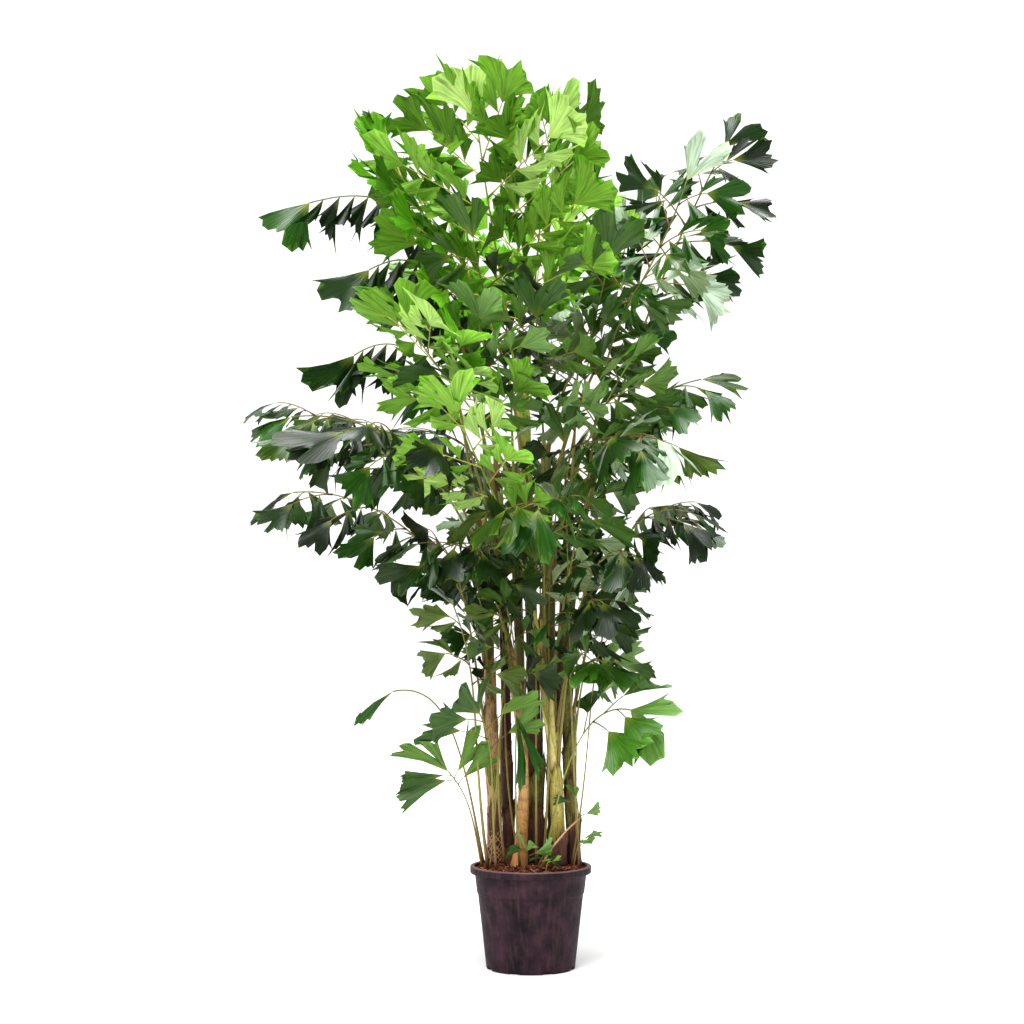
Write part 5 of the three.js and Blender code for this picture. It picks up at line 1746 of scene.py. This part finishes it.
def make_sheaths(settings, rng):
    """The sleeves that wrap the canes below each stalk, joined by kind, with the fibres of their torn edges,
    the straps, the net and the fallen stalk."""
    kinds = {kind: [] for kind in (*LIVE_SHEATHS, *DRY_SHEATHS)}
    threads = []
    for kind, cane, low, high, outward, thick in sheath_wraps(rng):
        low = max(low, DEEPEST_SHEATH)
        high = min(high, cane["top"][2])
        points = sleeve_points(cane, low, high, outward, thick, rng)
        kinds[kind].append(points)
        threads.append(fringe(cane, points[SLEEVE_ROWS - 1], settings.fibres, rng))
    materials = {kind: stalk_material(*look, 0.3) for kind, look in LIVE_SHEATHS.items()}
    materials |= {kind: bark_material(*look) for kind, look in DRY_SHEATHS.items()}
    quads = grid_faces(2 * SLEEVE_ROWS, SLEEVE_COLUMNS, closed_rows=True)
    row = np.arange(2 * SLEEVE_ROWS)
    along = np.minimum(row, row[::-1]) / (SLEEVE_ROWS - 1) * SLEEVE_MAP
    places = grid_map(quads, SLEEVE_COLUMNS, along)
    for kind, sleeves in kinds.items():
        if not sleeves:
            continue
        start = np.arange(len(sleeves))[:, None, None] * (2 * SLEEVE_ROWS * SLEEVE_COLUMNS)
        piece = new_piece(
            "leaf_sheaths_" + kind, np.concatenate(sleeves), [(start + quads).reshape(-1, 4)],
            [materials[kind]], maps=[np.tile(places, (len(sleeves), 1, 1))],
        )
        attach(piece, "root")
    for piece in (make_straps(), make_net(rng), make_dry_stalk(), make_fibres(np.concatenate(threads))):
        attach(piece, "root")


def inner_shoots(rng):
    """Plans of thin shoots: feet dealt round the clump clear of the canes, tips further out and higher."""
    plans = {}
    for index in range(INNER_SHOOTS):
        for _ in range(40):
            angle = 2 * math.pi * (index + rng.uniform(-0.4, 0.4)) / INNER_SHOOTS
            outward = np.array([math.cos(angle), math.sin(angle)])
            foot = np.array(CLUMP_MIDDLE) + outward * rng.uniform(0.05, 0.13)
            gaps = [np.linalg.norm(foot - cane["foot"]) - 1.5 * cane["radius"] for cane in CANES.values()]
            if min(gaps) > 0.006:
                break
        reach = foot + outward * rng.uniform(0.03, 0.15)
        plans["inner_%d" % index] = dict(
            foot=tuple(foot), tip=(*reach, rng.uniform(0.95, 1.62)), pitch=rng.uniform(35, 75),
            stalk=rng.uniform(0.62, 0.72), pairs=2, spread=rng.uniform(0.10, 0.14),
            leaf=rng.uniform(0.11, 0.14), age="grown",
        )
    return plans


def frond_group(plan):
    """Where a frond's leaflets are joined: by age, and grown ones by their side of the clump."""
    if plan["age"] != "grown":
        return plan["age"]
    x, y, _ = plan["tip"]
    if y > 0.15:
        return "grown_back"
    if x < -0.25:
        return "grown_left"
    return "grown_right" if x > 0.40 else "grown_front"


def node_names(name, plan):
    """The nodes of the frame that a frond replaces."""
    whole = "frond_" + name
    return [whole + "_stalk", whole] if plan.get("split") else [whole]


def rib_tube(plan, rib, thick):
    """A rib's middle line, upper normals, half widths and half depths, with a swelling at its cane."""
    t = np.linspace(0, 1, RIB_ROWS) ** 0.85
    point, _, _, normal = rib_frames(rib, t)
    run = np.append(0, np.cumsum(np.linalg.norm(np.diff(point, axis=0), axis=1)))
    swelling = CLASP_SHARE * np.exp(-np.maximum(run - CLASP_HEIGHT, 0) / CLASP_FADE)
    clasp = 1 + (swelling if "cane" in plan else 0)
    width = mix(*RIB_WIDTHS, np.sqrt(t)) * rib["scale"] * clasp * thick
    depth = mix(*RIB_DEPTHS, np.sqrt(t)) * rib["scale"] * (0.6 + 0.4 * clasp) * thick
    return point, normal, np.maximum(width, RIB_LEAST), np.maximum(depth, RIB_LEAST)


def make_fronds(settings):
    """All fronds: ribs, twigs and leaflets, each kind joined by group."""
    groups = {}
    for index, (name, plan) in enumerate(FRONDS.items()):
        rng = np.random.default_rng([SEED, index])
        parts = frond_parts(plan, rng, settings.twigs)
        groups.setdefault(frond_group(plan), []).append((name, plan, parts))
    small_rng = np.random.default_rng([SEED, 900])
    shoots = {**SMALL_SHOOTS, **inner_shoots(small_rng)}
    small = [(name, plan, frond_parts(plan, small_rng, 1.0)) for name, plan in shoots.items()]
    for age in TINTS:
        groups["shoots_" + age] = [member for member in small if member[1]["age"] == age]
    leaf_materials = {}
    for age, tints in TINTS.items():
        finish = FINISHES[age]
        leaf_materials[age] = []
        for index, (over, under, _) in enumerate(tints):
            label = "Palm leaf, " + age + " " + str(index + 1)
            leaf_materials[age].append(leaf_material(label, over, len(tints), finish, finish["coat"]))
            leaf_materials[age].append(leaf_material(label + " underside", under, len(tints), finish, 0.0))
    stalks = {age: stalk_material(*look) for age, look in STALKS.items()}
    for group, members in groups.items():
        age = members[0][1]["age"]
        build_group(group, members, leaf_materials[age], stalks[age])


def build_group(group, members, leaf_materials, stalk):
    """One group's three joined pieces: ribs, twigs and leaflets. members are names, plans and parts."""
    names, plans, parts = zip(*members)
    rib_lines, twig_tables, leaf_tables = zip(*parts)
    thick = SHOOT_THICKNESS if group.startswith("shoots") else 1.0
    tubes = [rib_tube(plan, rib, thick) for plan, rib in zip(plans, rib_lines)]
    ribs = tube_piece("ribs_" + group, *map(np.stack, zip(*tubes)), RIB_SIDES, [stalk])

    twigs = {key: value[:, None] for key, value in gathered(twig_tables).items()}
    u = np.linspace(0, 1.0, TWIG_ROWS)[None, :]
    point, _, normal = twig_frames(twigs, u)
    size = np.minimum(1.0, twigs["length"] / TWIG_FULL_LENGTH)
    swelling = 1 + TWIG_SWELLING * np.exp(-u / TWIG_SWELLING_FADE)
    radius = mix(*TWIG_RADII, u) * swelling * (0.55 + 0.45 * size)
    radius = np.maximum(radius, TWIG_LEAST)
    branches = tube_piece("twigs_" + group, point, normal, radius, radius * 0.85, TWIG_SIDES, [stalk])

    rng = np.random.default_rng([SEED, 500 + sum(map(ord, group))])
    leaves = gathered(leaf_tables)
    blades = leaf_piece("leaflets_" + group, leaves, len(leaf_materials) // 2, leaf_materials, rng)
    nodes = [node for name, plan in zip(names, plans) if name in FRONDS for node in node_names(name, plan)]
    for piece in (ribs, branches, blades):
        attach(piece, "root")
        if nodes:
            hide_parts(*nodes)


def make_stage(settings):
    """A pale floor, a white surround, soft lamps and the camera."""
    corners = FLOOR_HALF * np.array([(-1, -1, 0), (1, -1, 0), (1, 1, 0), (-1, 1, 0)])
    board = plain_material("Matt white board, lit from below", "E0E0E0", 0.9, glow=0.12)
    floor = new_piece("studio_floor", corners, [np.array([[0, 1, 2, 3]])], [board])
    world = bpy.data.worlds.new("Studio surround")
    world.use_nodes = True
    world.node_tree.nodes.clear()
    tree = world.node_tree
    seen = add(tree, "ShaderNodeBackground", {"Color": (1, 1, 1, 1), "Strength": 1.0})
    fill = add(tree, "ShaderNodeBackground", {"Color": (1, 1, 1, 1), "Strength": settings.surround})
    path = add(tree, "ShaderNodeLightPath")
    is_seen = path.outputs["Is Camera Ray"]
    shade = add(tree, "ShaderNodeMixShader", {0: is_seen, 1: fill.outputs[0], 2: seen.outputs[0]})
    add(tree, "ShaderNodeOutputWorld", {"Surface": shade.outputs[0]})
    bpy.context.scene.world = world
    lamps = (
        ("key_lamp", settings.key, (-0.30, -0.70, 1.10)),
        ("top_lamp", settings.top, (0.20, 0.15, 1.30)),
    )
    for name, strength, direction in lamps:
        light = bpy.data.lights.new(name, "SUN")
        light.energy = strength
        light.angle = math.radians(LAMP_WIDTH)
        lamp = bpy.data.objects.new(name, light)
        lamp.rotation_euler = Vector(direction).to_track_quat("Z", "Y").to_euler()
        bpy.context.scene.collection.objects.link(lamp)
    lens = bpy.data.cameras.new("photo_camera")
    lens.sensor_width = 36.0
    frame_width = PHOTO_PIXELS * settings.pixel
    lens.angle = 2 * math.atan(frame_width / 2 / settings.distance)
    camera = bpy.data.objects.new("photo_camera", lens)
    camera.location = (settings.aim_x, -settings.distance, settings.eye)
    aim = Vector((settings.aim_x, 0, settings.aim_z))
    camera.rotation_euler = (aim - camera.location).to_track_quat("-Z", "Y").to_euler()
    bpy.context.scene.collection.objects.link(camera)
    bpy.context.scene.camera = camera
    bpy.context.scene.view_settings.view_transform = "Standard"
    bpy.context.scene.view_settings.look = "Medium High Contrast"


class PalmPotSettings(bpy.types.PropertyGroup):
    foot_radius: FloatProperty(
        name="Foot radius", description="Radius of the pot's underside", default=0.146, unit="LENGTH"
    )
    collar_radius: FloatProperty(
        name="Collar radius", description="Radius of the wall just under the rim", default=0.185,
        unit="LENGTH",
    )
    collar_foot: FloatProperty(
        name="Collar foot", description="Height of the ledge under the collar", default=0.247, unit="LENGTH"
    )
    rim_depth: FloatProperty(
        name="Rim depth", description="Height of the rim's band", default=0.024, unit="LENGTH"
    )
    drains: IntProperty(name="Drain notches", description="Notches round the foot", default=8)
    drain_width: FloatProperty(
        name="Notch width", description="Width of a drain notch", default=0.030, unit="LENGTH"
    )
    drain_height: FloatProperty(
        name="Notch height", description="Height of a drain notch", default=0.0088, unit="LENGTH"
    )
    plastic: FloatVectorProperty(
        name="Plastic", description="Colour of the pot", default=linear("32242B"), size=4, subtype="COLOR"
    )


class PalmSoilSettings(bpy.types.PropertyGroup):
    chips: IntProperty(name="Chips", description="Bark chips on the mulch", default=1800)
    chip_length: FloatProperty(
        name="Chip length", description="Length of the largest chips", default=0.030, unit="LENGTH"
    )


class PalmCaneSettings(bpy.types.PropertyGroup):
    scar_spacing: FloatProperty(
        name="Ring spacing", description="Usual distance between leaf scars", default=0.07, unit="LENGTH"
    )
    relief: FloatProperty(
        name="Relief", description="Height of a leaf scar's ridge", default=0.0013, unit="LENGTH"
    )
    fibres: IntProperty(name="Fibres", description="Loose fibres at each sheath's edge", default=16)


class PalmFrondSettings(bpy.types.PropertyGroup):
    twigs: FloatProperty(name="Twigs", description="Scales the number of twigs on every frond", default=1.0)


class PalmStageSettings(bpy.types.PropertyGroup):
    surround: FloatProperty(name="Surround", description="Light from the white surround", default=0.38)
    key: FloatProperty(name="Key lamp", description="Strength of the lamp at the front left", default=3.0)
    top: FloatProperty(name="Top lamp", description="Strength of the lamp above and behind", default=3.0)
    pixel: FloatProperty(
        name="Pixel", description="Real width of a pixel of the photograph at the pot", default=0.00333,
        unit="LENGTH", precision=5,
    )
    distance: FloatProperty(
        name="Distance", description="From the camera to the pot's axis", default=6.5, unit="LENGTH"
    )
    eye: FloatProperty(name="Eye height", description="Height of the camera", default=1.2, unit="LENGTH")
    aim_x: FloatProperty(
        name="Aim across", description="Middle of the picture, across", default=-0.0616, unit="LENGTH"
    )
    aim_z: FloatProperty(
        name="Aim height", description="Middle of the picture, up", default=1.503, unit="LENGTH"
    )


class PalmSettings(bpy.types.PropertyGroup):
    pot: PointerProperty(type=PalmPotSettings, name="Pot", description="Sizes and colour of the pot")
    soil: PointerProperty(type=PalmSoilSettings, name="Mulch", description="The bark mulch")
    canes: PointerProperty(type=PalmCaneSettings, name="Canes", description="The canes and their sheaths")
    fronds: PointerProperty(type=PalmFrondSettings, name="Fronds", description="The fronds' twigs")
    stage: PointerProperty(type=PalmStageSettings, name="Stage", description="Floor, lamps and camera")


class PALM_OT_pot(bpy.types.Operator):
    """Build the nursery pot"""

    bl_idname = "palm.pot"
    bl_label = "Pot"

    def execute(self, context):
        make_pot(context.scene.fishtail_palm.pot)
        return {"FINISHED"}


class PALM_OT_soil(bpy.types.Operator):
    """Build the root ball and the bark chips"""

    bl_idname = "palm.soil"
    bl_label = "Mulch"

    def execute(self, context):
        make_soil(context.scene.fishtail_palm.soil, np.random.default_rng([SEED, 100]))
        return {"FINISHED"}


class PALM_OT_canes(bpy.types.Operator):
    """Build the ringed canes"""

    bl_idname = "palm.canes"
    bl_label = "Canes"

    def execute(self, context):
        for index, (name, cane) in enumerate(CANES.items()):
            rng = np.random.default_rng([SEED, 200 + index])
            make_cane(name, cane, context.scene.fishtail_palm.canes, rng)
        return {"FINISHED"}


class PALM_OT_sheaths(bpy.types.Operator):
    """Build the leaf sheaths and their fibres"""

    bl_idname = "palm.sheaths"
    bl_label = "Leaf sheaths"

    def execute(self, context):
        make_sheaths(context.scene.fishtail_palm.canes, np.random.default_rng([SEED, 300]))
        return {"FINISHED"}


class PALM_OT_fronds(bpy.types.Operator):
    """Build the ribs, twigs and leaflets"""

    bl_idname = "palm.fronds"
    bl_label = "Fronds"

    def execute(self, context):
        make_fronds(context.scene.fishtail_palm.fronds)
        return {"FINISHED"}


class PALM_OT_stage(bpy.types.Operator):
    """Set up the floor, lamps and camera"""

    bl_idname = "palm.stage"
    bl_label = "Stage"

    def execute(self, context):
        make_stage(context.scene.fishtail_palm.stage)
        return {"FINISHED"}


class PALM_PT_builder(bpy.types.Panel):
    """The palm's settings and the buttons that build it"""

    bl_label = "Potted fishtail palm"
    bl_idname = "PALM_PT_builder"
    bl_space_type = "VIEW_3D"
    bl_region_type = "UI"
    bl_category = "Palm"

    def draw(self, context):
        settings = context.scene.fishtail_palm
        for part in ("pot", "soil", "canes", "fronds", "stage"):
            box = self.layout.box()
            group = getattr(settings, part)
            for key in group.__annotations__:
                box.prop(group, key)
            box.operator("palm." + part)
        self.layout.operator("palm.sheaths")


CLASSES = (
    PalmPotSettings, PalmSoilSettings, PalmCaneSettings, PalmFrondSettings, PalmStageSettings, PalmSettings,
    PALM_OT_pot, PALM_OT_soil, PALM_OT_canes, PALM_OT_sheaths, PALM_OT_fronds, PALM_OT_stage, PALM_PT_builder,
)


def register():
    for cls in CLASSES:
        bpy.utils.register_class(cls)
    bpy.types.Scene.fishtail_palm = PointerProperty(type=PalmSettings)


def unregister():
    del bpy.types.Scene.fishtail_palm
    for cls in reversed(CLASSES):
        bpy.utils.unregister_class(cls)


def main():
    register()
    bpy.ops.palm.stage()
    bpy.ops.palm.pot()
    bpy.ops.palm.soil()
    bpy.ops.palm.canes()
    bpy.ops.palm.sheaths()
    bpy.ops.palm.fronds()


if __name__ == "__main__":
    main()
